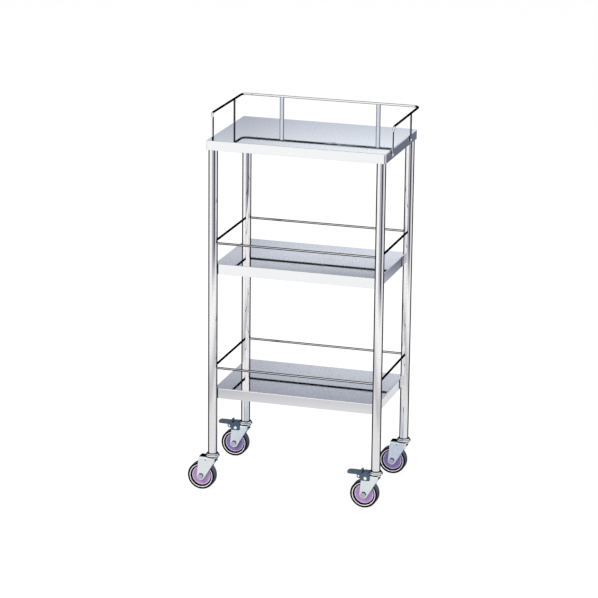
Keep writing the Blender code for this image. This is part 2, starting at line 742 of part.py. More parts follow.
def axle_nut_mesh():
    """The nut at the far end of the axle bolt."""
    bore = AXLE_RADIUS + SEAT_GAP
    base = -(fork_outer + SEAT_GAP)
    blank = loft("axle_nut", [
        hex_loop(HEX_ACROSS_FLATS, base),
        hex_loop(HEX_ACROSS_FLATS, -nut_end + HEX_CHAMFER),
        round_loop(HEX_ACROSS_FLATS / 2 - HEX_CHAMFER / 2, -nut_end),
    ])
    middle = (0, 0, base - NUT_HEIGHT / 2)
    return carve(blank, [("DIFFERENCE", drill(bore, middle, "Z", 2 * NUT_HEIGHT))])


def shoe_radius():
    """Radius of the pedal's brake shoe, so that it just clears the tyre at the end of the travel."""
    turn = Matrix.Rotation(PEDAL_TRAVEL, 2)
    pressed = turn @ Vector((-SHOE_X, -SHOE_DROP))
    du = -BRAKE_PIN_X + pressed.x + TRAIL
    dv = brake_pin_z + pressed.y - WHEEL_RADIUS
    return math.hypot(du, dv) - WHEEL_RADIUS - SHOE_CLEARANCE


def pedal_outline():
    """Side view of the pedal about its pin: boss, shoe, tab, blade and toe."""
    shoe = shoe_radius()
    crown_end = -FORK_REAR_REACH - PEDAL_END_GAP + BRAKE_PIN_X
    tip = -PEDAL_REACH + BRAKE_PIN_X
    tab = -PEDAL_TAB_REACH + BRAKE_PIN_X
    blade_low = PEDAL_BLADE_RISE
    blade_high = blade_low + PEDAL_BLADE_THICKNESS
    nose = PEDAL_EDGE
    toe_top = blade_high + PEDAL_TOE_HEIGHT
    toe_rear = crown_end - PEDAL_TOE_WIDTH
    quarter = math.pi / 2
    points = arc(0, 0, PEDAL_BOSS_RADIUS, -quarter, quarter, 2 * BEND_STEPS)
    points += [
        (crown_end, PEDAL_BOSS_RADIUS),
        (crown_end, blade_high),
        (crown_end - nose / 3, toe_top - 2 * nose),
        (crown_end - nose, toe_top - nose / 2),
        (crown_end - 2 * nose, toe_top),
        (crown_end - 3 * nose, toe_top - nose / 2),
        (toe_rear, blade_high),
        (tip + nose, blade_high),
        (tip, blade_high - nose),
        (tip, blade_low + nose),
        (tip + nose, blade_low),
        (tab, blade_low),
        (tab, 0.0),
        (tab + PEDAL_TAB_DROP, -PEDAL_TAB_DROP),
    ]
    points += arc(-SHOE_X, -SHOE_DROP, shoe, SHOE_START, SHOE_END, BEND_STEPS + 1)
    return points


def pedal_mesh():
    """The moulded pedal: a round tip in plan, a bore for its pin, and a hollow tab with a window in each cheek."""
    tip = -PEDAL_REACH + BRAKE_PIN_X
    base = prism("brake_pedal", pedal_outline(), -pedal_half, pedal_half, "Y")
    corner = min(PEDAL_TIP_RADIUS, pedal_half)
    reach = 2 * PEDAL_BOSS_RADIUS
    quarter = math.pi / 2
    plan = [(reach, -2 * pedal_half), (reach, 2 * pedal_half), (tip + corner, 2 * pedal_half)]
    plan += [(tip + corner, pedal_half)]
    plan += arc(tip + corner, pedal_half - corner, corner, quarter, 2 * quarter, BEND_STEPS)
    plan += arc(tip + corner, -pedal_half + corner, corner, 2 * quarter, 3 * quarter, BEND_STEPS)
    plan += [(tip + corner, -2 * pedal_half)]
    plan_cut = prism("plan", plan, -PEDAL_REACH, PEDAL_REACH, "Z")
    tab = -PEDAL_TAB_REACH + BRAKE_PIN_X
    window_x = tab + PEDAL_HOLLOW / 2
    window_z = (PEDAL_BLADE_RISE - PEDAL_TAB_DROP) / 2
    rim = rounded_rectangle(PEDAL_WINDOW_WIDTH / 2, PEDAL_WINDOW_HEIGHT / 2, PEDAL_WINDOW_CORNER, BEND_STEPS - 1)
    window = [(window_x + u, window_z + v) for u, v in rim]
    hollow = [(tab - PEDAL_HOLLOW, -PEDAL_REACH), (tab + PEDAL_HOLLOW, -PEDAL_REACH),
              (tab + PEDAL_HOLLOW, PEDAL_BLADE_RISE), (tab - PEDAL_HOLLOW, PEDAL_BLADE_RISE)]
    hollow_half = pedal_half - PEDAL_CHEEK
    return carve(base, [
        ("INTERSECT", plan_cut),
        ("DIFFERENCE", drill(BRAKE_PIN_RADIUS + SEAT_GAP, (0, 0, 0), "Y", 4 * pedal_half)),
        ("DIFFERENCE", prism("hollow", hollow, -hollow_half, hollow_half, "Y")),
        ("DIFFERENCE", prism("window", window, -2 * pedal_half, 2 * pedal_half, "Y")),
    ])


def cover_mesh():
    """The moulded brake cover: a saddle over the crown with a cheek outside each side of the fork."""
    rear = -COVER_REAR
    front = -COVER_FRONT
    corner = COVER_ROUNDING
    side = [
        (rear + corner, cover_bottom),
        (front - corner, cover_bottom),
        (front, cover_bottom + corner),
        (front, cover_top - corner),
        (front - corner, cover_top),
        (rear + corner, cover_top),
        (rear, cover_top - corner),
        (rear, cover_bottom + corner),
    ]
    block = prism("brake_cover", side, -cover_outer, cover_outer, "Y")
    long = 2 * COVER_REAR
    saddle = [
        (-cover_inner, 0),
        (cover_inner, 0),
        (cover_inner, crown_top + SEAT_GAP),
        (-cover_inner, crown_top + SEAT_GAP),
    ]
    toe_limit = -FORK_REAR_REACH - PEDAL_END_GAP + COVER_TOE_GAP
    toe_half = pedal_half + PEDAL_SIDE_CLEARANCE
    toe_way = [(-long, -toe_half), (toe_limit, -toe_half), (toe_limit, toe_half), (-long, toe_half)]
    roof = [(-cover_outer - corner, cover_top - corner), (-cover_outer + corner, cover_top + corner),
            (-cover_outer - corner, cover_top + corner)]
    roof_mirror = [(-y, z) for y, z in roof[::-1]]
    slot_x = (toe_limit - HEAD_RADIUS - COVER_HEAD_CLEARANCE) / 2
    slot = [
        (slot_x - COVER_SLOT_LENGTH / 2, -COVER_SLOT_WIDTH / 2),
        (slot_x + COVER_SLOT_LENGTH / 2, -COVER_SLOT_WIDTH / 2),
        (slot_x + COVER_SLOT_LENGTH / 2, COVER_SLOT_WIDTH / 2),
        (slot_x - COVER_SLOT_LENGTH / 2, COVER_SLOT_WIDTH / 2),
    ]
    head_bore = HEAD_RADIUS + COVER_HEAD_CLEARANCE
    head_room = cover_top - crown_top
    at_pin = (-BRAKE_PIN_X, 0, brake_pin_z)
    return carve(block, [
        ("DIFFERENCE", prism("saddle", saddle, -long, long, "X")),
        ("DIFFERENCE", prism("toe_way", toe_way, 0, 2 * cover_top, "Z")),
        ("DIFFERENCE", prism("roof", roof, -long, long, "X")),
        ("DIFFERENCE", prism("roof", roof_mirror, -long, long, "X")),
        ("DIFFERENCE", drill(head_bore, (0, 0, cover_top), "Z", 2 * head_room, 2 * HEAD_FACETS)),
        ("DIFFERENCE", prism("slot", slot, cover_top - COVER_SLOT_DEPTH, 2 * cover_top, "Z")),
        ("DIFFERENCE", drill(BRAKE_PIN_RADIUS + SEAT_GAP, at_pin, "Y", 3 * cover_outer)),
    ])


def brake_pin_mesh():
    """The pin through cover, fork and pedal, with a low head at each end."""
    inner = cover_outer + SEAT_GAP
    outer = inner + BRAKE_PIN_HEAD_HEIGHT
    head = BRAKE_PIN_HEAD_RADIUS
    upper = [(0, outer), (head, outer), (head, inner), (BRAKE_PIN_RADIUS, inner)]
    lower = [(radius, -height) for radius, height in upper[::-1]]
    return turned("brake_pin", upper + lower, PIN_FACETS, closed=False)


def build_casters(root, paints):
    """Four swivel casters, two of them with a brake, each on empties at its own axes."""
    bush = bush_mesh()
    head = swivel_head_mesh()
    forks = {False: fork_mesh(False), True: fork_mesh(True)}
    tyre = tyre_mesh()
    hub = hub_mesh()
    bolt = axle_bolt_mesh()
    nut = axle_nut_mesh()
    cover = cover_mesh()
    pin = brake_pin_mesh()
    pedal = pedal_mesh()
    lying = (math.pi / 2, 0, 0)
    for corner, (side_x, side_y) in CORNERS.items():
        braked = corner in BRAKED
        swivel = empty("swivel_axis_" + corner, root, (side_x * leg_x, side_y * leg_y, 0))
        axle = empty("axle_axis_" + corner, swivel, (-TRAIL, 0, WHEEL_RADIUS))
        place("leg_bush_" + corner, bush, paints["zinc"], swivel)
        place("swivel_head_" + corner, head, paints["zinc"], swivel)
        place("fork_" + corner, forks[braked], paints["zinc"], swivel)
        place("axle_bolt_" + corner, bolt, paints["zinc"], axle, (0, 0, 0), lying)
        place("axle_nut_" + corner, nut, paints["zinc"], axle, (0, 0, 0), lying)
        place("tyre_" + corner, tyre, paints["tyre"], axle, (0, 0, 0), lying)
        place("hub_" + corner, hub, paints["hub"], axle, (0, 0, 0), lying)
        if braked:
            hinge = empty("pedal_axis_" + corner, swivel, (-BRAKE_PIN_X, 0, brake_pin_z))
            place("brake_cover_" + corner, cover, paints["moulding"], swivel)
            place("brake_pin_" + corner, pin, paints["zinc"], hinge, (0, 0, 0), lying)
            place("brake_pedal_" + corner, pedal, paints["moulding"], hinge)


def build_trolley():
    """The whole trolley."""
    clear_scene()
    steel = paint("polished_sheet", (0.62, 0.65, 0.70), 0.12, 1.0)
    chrome = paint("polished_rod", (0.74, 0.75, 0.78), 0.08, 1.0)
    paints = {
        "zinc": paint("bright_zinc", (0.72, 0.76, 0.78), 0.25, 1.0),
        "tyre": paint("tread_rubber", (0.09, 0.10, 0.13), 0.60, 0.0),
        "hub": paint("violet_moulding", (0.38, 0.22, 0.50), 0.35, 0.0),
        "moulding": paint("black_moulding", (0.04, 0.05, 0.06), 0.45, 0.0),
    }
    root = empty("trolley", None, (-centre_x, -centre_y, 0))
    build_decks(root, steel)
    build_legs(root, chrome)
    build_top_guard(root, chrome)
    build_rivets(root, chrome)
    build_shelf_rails(root, chrome)
    build_casters(root, paints)


build_trolley()
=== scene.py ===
"""The looks of the ward round trolley: polished sheet and tube, zinc casters, violet wheels, black brakes."""

import math

import bmesh
import bpy
from mathutils import Matrix, Vector


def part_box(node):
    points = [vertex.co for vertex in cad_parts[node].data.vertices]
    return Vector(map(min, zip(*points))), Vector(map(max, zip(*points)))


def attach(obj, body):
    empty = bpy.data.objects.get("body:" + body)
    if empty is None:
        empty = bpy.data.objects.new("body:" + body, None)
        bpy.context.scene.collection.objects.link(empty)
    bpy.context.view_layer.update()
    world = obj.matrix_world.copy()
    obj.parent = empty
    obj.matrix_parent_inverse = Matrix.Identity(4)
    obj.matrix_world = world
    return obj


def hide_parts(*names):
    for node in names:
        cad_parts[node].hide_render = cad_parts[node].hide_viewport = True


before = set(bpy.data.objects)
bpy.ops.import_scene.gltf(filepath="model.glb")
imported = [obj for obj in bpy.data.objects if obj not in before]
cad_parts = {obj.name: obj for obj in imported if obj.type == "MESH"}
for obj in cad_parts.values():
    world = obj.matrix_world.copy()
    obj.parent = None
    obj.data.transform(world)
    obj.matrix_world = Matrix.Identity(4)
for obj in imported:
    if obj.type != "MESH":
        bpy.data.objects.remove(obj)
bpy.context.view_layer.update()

# The studio: a plain white room, as a maker photographs polished steel. The camera stands seven and
# a half metres off, to the right of the front, and looks slightly down through a long lens.
CORNERS = ("front_left", "front_right", "rear_left", "rear_right")
CAMERA_DISTANCE = 7.5229
CAMERA_YAW = math.radians(16.873)
CAMERA_PITCH = math.radians(16.152)
CAMERA_ROLL = math.radians(0.618)
CAMERA_LENS = 171.355
CAMERA_RIGHT = -0.03093
CAMERA_UP = 0.009
CAMERA_SIGHT = 60
SIGHT_HEIGHT = 0.5
QUARTER = math.pi / 2


def leg_axis(corner):
    """The point on the floor under a leg's axis."""
    low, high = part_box("leg_" + corner)
    return Vector(((low.x + high.x) / 2, (low.y + high.y) / 2, 0))


def placed(name, data, at=(0, 0, 0)):
    """An object made of its data and put into the scene."""
    item = bpy.data.objects.new(name, data)
    item.location = at
    bpy.context.scene.collection.objects.link(item)
    return item


legs_centre = sum((leg_axis(corner) for corner in CORNERS), Vector()) / len(CORNERS)
forward = Vector((-math.sin(CAMERA_YAW) * math.cos(CAMERA_PITCH),
                  math.cos(CAMERA_YAW) * math.cos(CAMERA_PITCH),
                  -math.sin(CAMERA_PITCH)))
level_right = Vector((math.cos(CAMERA_YAW), math.sin(CAMERA_YAW), 0))
level_up = level_right.cross(forward)
camera_right = level_right * math.cos(CAMERA_ROLL) + level_up * math.sin(CAMERA_ROLL)
camera_up = level_up * math.cos(CAMERA_ROLL) - level_right * math.sin(CAMERA_ROLL)
sight = legs_centre + Vector((0, 0, SIGHT_HEIGHT))
camera_data = bpy.data.cameras.new("camera")
camera_data.lens = CAMERA_LENS
camera_data.clip_end = CAMERA_SIGHT
camera = placed("camera", camera_data)
camera.matrix_world = Matrix((camera_right, camera_up, -forward)).transposed().to_4x4()
camera.location = sight - forward * CAMERA_DISTANCE + camera_right * CAMERA_RIGHT + camera_up * CAMERA_UP
bpy.context.scene.camera = camera
bpy.context.scene.view_settings.view_transform = "Standard"


def add_node(tree, kind, inputs=None, **settings):
    """A node of a tree with its settings made and its inputs set to values or linked to sockets."""
    node = tree.nodes.new(kind)
    for key, value in settings.items():
        setattr(node, key, value)
    for key, value in (inputs or {}).items():
        if isinstance(value, bpy.types.NodeSocket):
            tree.links.new(value, node.inputs[key])
        else:
            node.inputs[key].default_value = value
    return node


def rescaled(tree, value, low, high, at_low=0.0, at_high=1.0, interpolation="LINEAR"):
    """A value brought from one span to another and held at the ends."""
    span = {"Value": value, "From Min": low, "From Max": high, "To Min": at_low, "To Max": at_high}
    return add_node(tree, "ShaderNodeMapRange", span, interpolation_type=interpolation).outputs["Result"]


def mixed(tree, factor, first, second):
    """Two colours mixed by a factor."""
    inputs = {"Factor": factor, "A": first, "B": second}
    return add_node(tree, "ShaderNodeMix", inputs, data_type="RGBA").outputs["Result"]


def colour_ramp(tree, share, stops):
    """A colour ramp over a share that runs from 0 at the first stop to 1 at the last one."""
    node = add_node(tree, "ShaderNodeValToRGB", {"Fac": share})
    first, last = stops[0][0], stops[-1][0]
    elements = node.color_ramp.elements
    elements.remove(elements[1])
    elements[0].color = (*stops[0][1], 1.0)
    for at, colour in stops[1:]:
        elements.new((at - first) / (last - first)).color = (*colour, 1.0)
    return node.outputs["Color"]


# Polished metal shows the room all round it. These are the room's walls by bearing, in degrees
# from behind the camera, counted towards the picture's right, below and above eye level.
WHITE_WALL = (1.0, 1.0, 1.0)
LIGHT_WALL = (0.62, 0.60, 0.68)
GREY_WALL = (0.42, 0.43, 0.48)
DIM_WALL = (0.30, 0.33, 0.39)
SLATE_WALL = (0.156, 0.171, 0.223)
DARK_WALL = (0.03, 0.03, 0.05)
AMBIENT = 0.62
EYE_LEVEL = (-0.05, 0.12)
low_walls = [
    (-180, DIM_WALL), (-112, DIM_WALL), (-100, WHITE_WALL), (-30, WHITE_WALL), (-22, GREY_WALL),
    (14, GREY_WALL), (20, DARK_WALL), (44, DARK_WALL), (51, LIGHT_WALL), (70, LIGHT_WALL), (76, WHITE_WALL),
    (104, WHITE_WALL), (112, GREY_WALL), (134, GREY_WALL), (141, SLATE_WALL), (158, SLATE_WALL),
    (166, DIM_WALL), (180, DIM_WALL),
]
high_walls = [
    (-180, DIM_WALL), (-148, DIM_WALL), (-110, LIGHT_WALL), (-90, WHITE_WALL), (85, WHITE_WALL),
    (105, LIGHT_WALL), (126, DIM_WALL), (180, DIM_WALL),
]
world = bpy.data.worlds.new("room")
bpy.context.scene.world = world
world.use_nodes = True
room = world.node_tree
room.nodes.clear()
direction = add_node(room, "ShaderNodeTexCoord").outputs["Generated"]
turn = {"Vector": direction, "Rotation": (0, 0, QUARTER - CAMERA_YAW)}
turned_direction = add_node(room, "ShaderNodeMapping", turn).outputs["Vector"]
gradient = add_node(room, "ShaderNodeTexGradient", {"Vector": turned_direction}, gradient_type="RADIAL")
bearing = gradient.outputs["Fac"]
rise = add_node(room, "ShaderNodeSeparateXYZ", {"Vector": direction}).outputs["Z"]
walls = mixed(room, rescaled(room, rise, *EYE_LEVEL), colour_ramp(room, bearing, low_walls),
              colour_ramp(room, bearing, high_walls))
ray = add_node(room, "ShaderNodeLightPath")
shown = mixed(room, ray.outputs["Is Glossy Ray"], (AMBIENT, AMBIENT, AMBIENT, 1), walls)
seen = mixed(room, ray.outputs["Is Camera Ray"], shown, (1, 1, 1, 1))
background = add_node(room, "ShaderNodeBackground", {"Color": seen})
add_node(room, "ShaderNodeOutputWorld", {"Surface": background.outputs["Background"]})

# The floor: a wide white sheet, as bright as the room, which keeps a faint shadow under the wheels.
# Only the camera sees it, because reflections show the lit sweep in its place.
FLOOR_HALF = 30.0
FLOOR_GLOW = 0.90
FLOOR_SHADE = 0.14


def studio_sheet(name, verts, faces):
    """A sheet that belongs to the studio, and its material's empty node tree."""
    mesh = bpy.data.meshes.new(name)
    mesh.from_pydata(verts, [], faces)
    paint = bpy.data.materials.new(name)
    paint.use_nodes = True
    paint.node_tree.nodes.clear()
    mesh.materials.append(paint)
    item = placed(name, mesh)
    return item, paint.node_tree


floor_corners = [(-FLOOR_HALF, -FLOOR_HALF, 0), (FLOOR_HALF, -FLOOR_HALF, 0), (FLOOR_HALF, FLOOR_HALF, 0),
                 (-FLOOR_HALF, FLOOR_HALF, 0)]
floor, sheet = studio_sheet("floor", floor_corners, [(0, 1, 2, 3)])
glow = add_node(sheet, "ShaderNodeEmission", {"Strength": FLOOR_GLOW})
matt = add_node(sheet, "ShaderNodeBsdfDiffuse", {"Color": (FLOOR_SHADE, FLOOR_SHADE, FLOOR_SHADE, 1)})
both = add_node(sheet, "ShaderNodeAddShader", {0: glow.outputs["Emission"], 1: matt.outputs["BSDF"]})
add_node(sheet, "ShaderNodeOutputMaterial", {"Surface": both.outputs["Shader"]})
floor.visible_glossy = False
floor.visible_diffuse = False

# The sheets round the trolley that its polished faces show: the lit sweep on the floor, which
# fades out into the room and reaches further out behind the right side, and curved boards behind,
# which the decks show. They glow with painted light, the sweep painted darker near its middle as
# the trolley's shadow and the boards painted in bands.
SWEEP_RADIUS = 2.6
SWEEP_HEIGHT = 0.0002
SWEEP_STEPS = 60
BOARD_DISTANCE = 1.6
BOARD_STEPS = 30
FLAT = (1, 1, 0)


def arc(centre_u, centre_v, radius, start, end, steps, radius_v=None):
    """Points on an arc, with the angles in radians. A second radius makes it an ellipse's."""
    points = []
    for k in range(steps + 1):
        angle = start + (end - start) * k / steps
        points.append((centre_u + radius * math.cos(angle),
                       centre_v + (radius_v or radius) * math.sin(angle)))
    return points


def own_place(tree):
    """A point's place in its piece's own coordinates."""
    return add_node(tree, "ShaderNodeTexCoord").outputs["Object"]


def place_along(tree, axis):
    """A point's place along one axis of its piece."""
    return add_node(tree, "ShaderNodeSeparateXYZ", {"Vector": own_place(tree)}).outputs[axis]


def distance_from(tree, flatten):
    """Distance from an axis through a piece's own origin. Flatten is 0 along the axis and 1 across it."""
    flat = add_node(tree, "ShaderNodeVectorMath", {0: own_place(tree), 1: flatten}, operation="MULTIPLY")
    length = add_node(tree, "ShaderNodeVectorMath", {0: flat.outputs["Vector"]}, operation="LENGTH")
    return length.outputs["Value"]


def measured_ramp(tree, value, stops):
    """A colour ramp over a measured value, with its stops in the value's own unit."""
    return colour_ramp(tree, rescaled(tree, value, stops[0][0], stops[-1][0]), stops)


def mirror_card(name, verts, faces, measure, stops, edge=None, along_x=None):
    """A sheet of the studio that only reflections see, shaded along a measure of its points.

    It may fade out over an edge, and be shaded along X as well.
    """
    card, tree = studio_sheet(name, verts, faces)
    value = measure(tree)
    colour = measured_ramp(tree, value, stops)
    if along_x:
        shades = {0: colour, 1: measured_ramp(tree, place_along(tree, "X"), along_x)}
        colour = add_node(tree, "ShaderNodeVectorMath", shades, operation="MULTIPLY").outputs["Vector"]
    surface = add_node(tree, "ShaderNodeEmission", {"Color": colour}).outputs["Emission"]
    if edge:
        fade = rescaled(tree, value, *edge, interpolation="SMOOTHSTEP")
        clear = add_node(tree, "ShaderNodeBsdfTransparent").outputs["BSDF"]
        surface = add_node(tree, "ShaderNodeMixShader", {0: fade, 1: surface, 2: clear}).outputs["Shader"]
    add_node(tree, "ShaderNodeOutputMaterial", {"Surface": surface})
    for ray_kind in ("visible_camera", "visible_diffuse", "visible_transmission", "visible_shadow"):
        setattr(card, ray_kind, False)


def floor_sweep(name, start, end, fade, stops):
    """A sector of the floor that reflections see, between two azimuths in degrees."""
    rim_points = arc(0, 0, SWEEP_RADIUS, math.radians(start), math.radians(end), SWEEP_STEPS)
    verts = [(x, y, SWEEP_HEIGHT) for x, y in [(0, 0)] + rim_points]
    faces = [(0, k, k + 1) for k in range(1, SWEEP_STEPS + 1)]
    mirror_card(name, verts, faces, lambda tree: distance_from(tree, FLAT), stops, fade)


def curved_board(name, start, end, stops, along_x=None):
    """A board that stands in an arc round the trolley, between two azimuths in degrees."""
    foot_points = arc(0, 0, BOARD_DISTANCE, math.radians(start), math.radians(end), BOARD_STEPS)
    verts = [(x, y, z) for x, y in foot_points for z in (stops[0][0], stops[-1][0])]
    faces = [(2 * k, 2 * k + 2, 2 * k + 3, 2 * k + 1) for k in range(BOARD_STEPS)]
    mirror_card(name, verts, faces, lambda tree: place_along(tree, "Z"), stops, along_x=along_x)


# The sweep's darker middle is a painted shadow of the trolley.
floor_sweep("lit_sweep", -186, 59, (1.8, 2.5), [
    (0.0, (0.50, 0.56, 0.66)), (0.20, (0.56, 0.62, 0.72)), (0.38, (0.82, 0.83, 0.84)),
    (0.88, (0.80, 0.79, 0.80)), (1.05, (0.60, 0.60, 0.63)), (1.20, (0.62, 0.62, 0.65)),
    (1.50, (0.92, 0.92, 0.93)), (1.75, (1.0, 1.0, 1.0)), (2.60, (0.96, 0.96, 0.97)),
])
floor_sweep("lit_sweep_right", 59, 87, (1.9, 2.5), [
    (0.0, (0.50, 0.56, 0.66)), (0.38, (0.76, 0.79, 0.82)), (1.00, (0.74, 0.77, 0.82)),
    (2.10, (0.58, 0.60, 0.67)), (2.60, (0.58, 0.60, 0.67)),
])
curved_board("low_board", 74, 176, [(0.30, (0.44, 0.46, 0.53)), (0.72, (0.58, 0.61, 0.68))])
curved_board("high_board", 20, 176, [
    (0.72, (0.58, 0.61, 0.68)), (0.77, (0.56, 0.59, 0.66)), (0.865, (0.37, 0.38, 0.45)),
    (0.96, (0.55, 0.58, 0.64)), (1.045, (0.69, 0.73, 0.80)), (1.085, (0.60, 0.63, 0.70)),
    (1.13, (0.29, 0.30, 0.36)), (1.20, (0.40, 0.43, 0.49)), (1.30, (0.63, 0.67, 0.75)),
    (1.375, (0.84, 0.89, 0.95)), (1.46, (0.88, 0.92, 0.97)),
], [(-0.85, (0.76, 0.76, 0.77)), (-0.62, (0.84, 0.84, 0.85)), (-0.46, (1.0, 1.0, 1.0)),
    (-0.15, (1.10, 1.10, 1.09))])


# The lamps: three large soft discs that look at the trolley's middle, at a plain level. Reflections
# show the room's walls in their place.
def soft_light(name, place, power, width):
    """One of the studio's lamps."""
    data = bpy.data.lights.new(name, "AREA")
    data.shape = "DISK"
    data.size = width
    data.energy = power
    lamp = placed(name, data, place)
    lamp.rotation_euler = (Vector(place) - sight).to_track_quat("Z", "Y").to_euler()
    lamp.visible_glossy = False


soft_light("key", (-2.2, -3.2, 3.4), power=130, width=2.4)
soft_light("fill", (3.0, -2.4, 2.0), power=55, width=2.4)
soft_light("top", (0.0, 0.6, 4.2), power=60, width=2.6)

# Top board: one sheet of polished stainless steel with its skirt folded down on four sides and
# its corners welded and ground round. The guard's feet are riveted to the skirt.
EVEN = (1, 1, 1)
MARK_EDGE = (0.56, 0.72)
MARK_DULLNESS = 0.05
HAZE_SHARE = 0.55
LINE_SHARE = 0.35
HAZE_SPAN = (0.25, 0.75)
POLISH_DEPTH = 0.0001
SHARP_ANGLE = math.radians(38)
TOUCHING = 1e-6
SHEET = 0.001
FOLD_RADIUS = 0.0022
FOLD_STEPS = 6
TOP_CORNER_RADIUS = 0.005
DECK_GRAIN = 0.9


def shader_group(name, inputs, outputs):
    """An empty node group with named sockets, and its two end nodes."""
    group = bpy.data.node_groups.new(name, "ShaderNodeTree")
    for title, kind, value in inputs:
        socket = group.interface.new_socket(title, in_out="INPUT", socket_type=kind)
        socket.default_value = value
    for title, kind in outputs:
        group.interface.new_socket(title, in_out="OUTPUT", socket_type=kind)
    return group, group.nodes.new("NodeGroupInput"), group.nodes.new("NodeGroupOutput")


def stretched_noise(tree, stretch, scale, detail, lift):
    """A noise drawn out along an axis, about a chosen place."""
    drawn = {"Vector": own_place(tree), "Scale": stretch, "Location": lift}
    vector = add_node(tree, "ShaderNodeMapping", drawn).outputs["Vector"]
    noise = {"Vector": vector, "Scale": scale, "Detail": detail}
    return add_node(tree, "ShaderNodeTexNoise", noise).outputs["Fac"]


def calculated(tree, operation, *values):
    """The result of one sum on sockets or numbers."""
    return add_node(tree, "ShaderNodeMath", dict(enumerate(values)), operation=operation).outputs[0]


def shaded_colour(tree, colour, factor):
    """A colour times a factor."""
    product = {"Vector": colour, "Scale": factor}
    return add_node(tree, "ShaderNodeVectorMath", product, operation="SCALE").outputs["Vector"]


def polish_group(name, stretch, level_grain):
    """Polished metal: buffing lines along one way, broad haze, fine grain and a few dull handling marks.

    Sheets keep their grain on the level faces, which hands and trays have rubbed.
    """
    group, start, end = shader_group(
        name,
        [("Low", "NodeSocketFloat", 0.08), ("High", "NodeSocketFloat", 0.2),
         ("Grain", "NodeSocketFloat", 0.3), ("Tint", "NodeSocketColor", (0.6, 0.6, 0.6, 1)),
         ("Dull", "NodeSocketColor", (0.5, 0.5, 0.5, 1))],
        [("Color", "NodeSocketColor"), ("Roughness", "NodeSocketFloat"), ("Height", "NodeSocketFloat")],
    )
    lines = stretched_noise(group, stretch, scale=14.0, detail=3.0, lift=(0, 0, 0))
    haze = stretched_noise(group, EVEN, scale=5.0, detail=4.0, lift=(3.1, 1.7, 0.4))
    marks = stretched_noise(group, EVEN, scale=22.0, detail=6.0, lift=(0.9, 4.2, 7.3))
    speckle = stretched_noise(group, EVEN, scale=240.0, detail=2.0, lift=(5.3, 0.2, 2.6))
    line_part = calculated(group, "MULTIPLY", lines, LINE_SHARE)
    blend = calculated(group, "MULTIPLY_ADD", haze, HAZE_SHARE, line_part)
    rough = rescaled(group, blend, *HAZE_SPAN, start.outputs["Low"], start.outputs["High"])
    marked = rescaled(group, marks, *MARK_EDGE, interpolation="SMOOTHSTEP")
    tone = mixed(group, haze, start.outputs["Tint"], start.outputs["Dull"])
    strength = start.outputs["Grain"]
    if level_grain:
        normal = add_node(group, "ShaderNodeNewGeometry").outputs["Normal"]
        upward = add_node(group, "ShaderNodeSeparateXYZ", {"Vector": normal}).outputs["Z"]
        strength = calculated(group, "MULTIPLY", calculated(group, "ABSOLUTE", upward), strength)
    darkest = calculated(group, "MULTIPLY_ADD", strength, -0.5, 1.0)
    grain = calculated(group, "MULTIPLY_ADD", speckle, strength, darkest)
    group.links.new(shaded_colour(group, tone, grain), end.inputs["Color"])
    group.links.new(calculated(group, "MULTIPLY_ADD", marked, MARK_DULLNESS, rough), end.inputs["Roughness"])
    group.links.new(lines, end.inputs["Height"])
    return group


def slant_shade(tree, start, end, shade, upright=False):
    """A factor that falls from 1 to a shade as a surface turns away from the eye.

    The studio is white round the camera and dark elsewhere, so the colour is painted darker towards the
    edges, a painted reflection of the dark room.
    An upright surface measures its slant in plan, so that it stays bright when seen from above.
    """
    turned_away = add_node(tree, "ShaderNodeLayerWeight", {"Blend": 0.5}).outputs["Facing"]
    if upright:
        up = add_node(tree, "ShaderNodeCombineXYZ", {"Z": 1.0}).outputs["Vector"]
        from_top = add_node(tree, "ShaderNodeLayerWeight", {"Blend": 0.5, "Normal": up}).outputs["Facing"]
        rise = calculated(tree, "SUBTRACT", 1.0, from_top)
        level = calculated(tree, "SUBTRACT", 1.0, calculated(tree, "MULTIPLY", rise, rise))
        towards = calculated(tree, "SUBTRACT", 1.0, turned_away)
        in_plan = calculated(tree, "DIVIDE", towards, calculated(tree, "SQRT", level))
        turned_away = calculated(tree, "SUBTRACT", 1.0, in_plan)
    return rescaled(tree, turned_away, start, end, 1.0, shade, "SMOOTHSTEP")


def polished_metal(name, group, rough, tint, dull, bump, slant=None, mirrored=1.0, grain=0.3, shade_of=None,
                   plain_below=None, upright=False):
    """A metal whose polish comes from a polish group.

    Its slants are painted dark where they are given, a painted reflection of the dark room. What other
    metal shows of it is painted darker than what the eye sees, as the side that it turns to the other
    metal would face the dark half of the room. A function may paint shade on it by place as well, and
    the painted slant shade may stay off below a height.
    """
    material = bpy.data.materials.new(name)
    material.use_nodes = True
    tree = material.node_tree
    shader = tree.nodes["Principled BSDF"]
    shader.inputs["Metallic"].default_value = 1.0
    looks = {"Low": rough[0], "High": rough[1], "Grain": grain, "Tint": (*tint, 1), "Dull": (*dull, 1)}
    polish = add_node(tree, "ShaderNodeGroup")
    polish.node_tree = group
    for title, value in looks.items():
        polish.inputs[title].default_value = value
    colour = polish.outputs["Color"]
    if shade_of:
        colour = shaded_colour(tree, colour, shade_of(tree))
    if slant:
        factor = slant_shade(tree, *slant, upright=upright)
        if plain_below:
            above = calculated(tree, "GREATER_THAN", place_along(tree, "Z"), plain_below)
            factor = rescaled(tree, above, 0.0, 1.0, 1.0, factor)
        glossy = add_node(tree, "ShaderNodeLightPath").outputs["Is Glossy Ray"]
        colour = shaded_colour(tree, shaded_colour(tree, colour, factor),
                               rescaled(tree, glossy, 0.0, 1.0, 1.0, mirrored))
        tree.links.new(factor, shader.inputs["Specular Tint"])
    relief = {"Height": polish.outputs["Height"], "Strength": bump, "Distance": POLISH_DEPTH}
    tree.links.new(colour, shader.inputs["Base Color"])
    tree.links.new(polish.outputs["Roughness"], shader.inputs["Roughness"])
    tree.links.new(add_node(tree, "ShaderNodeBump", relief).outputs["Normal"], shader.inputs["Normal"])
    return material


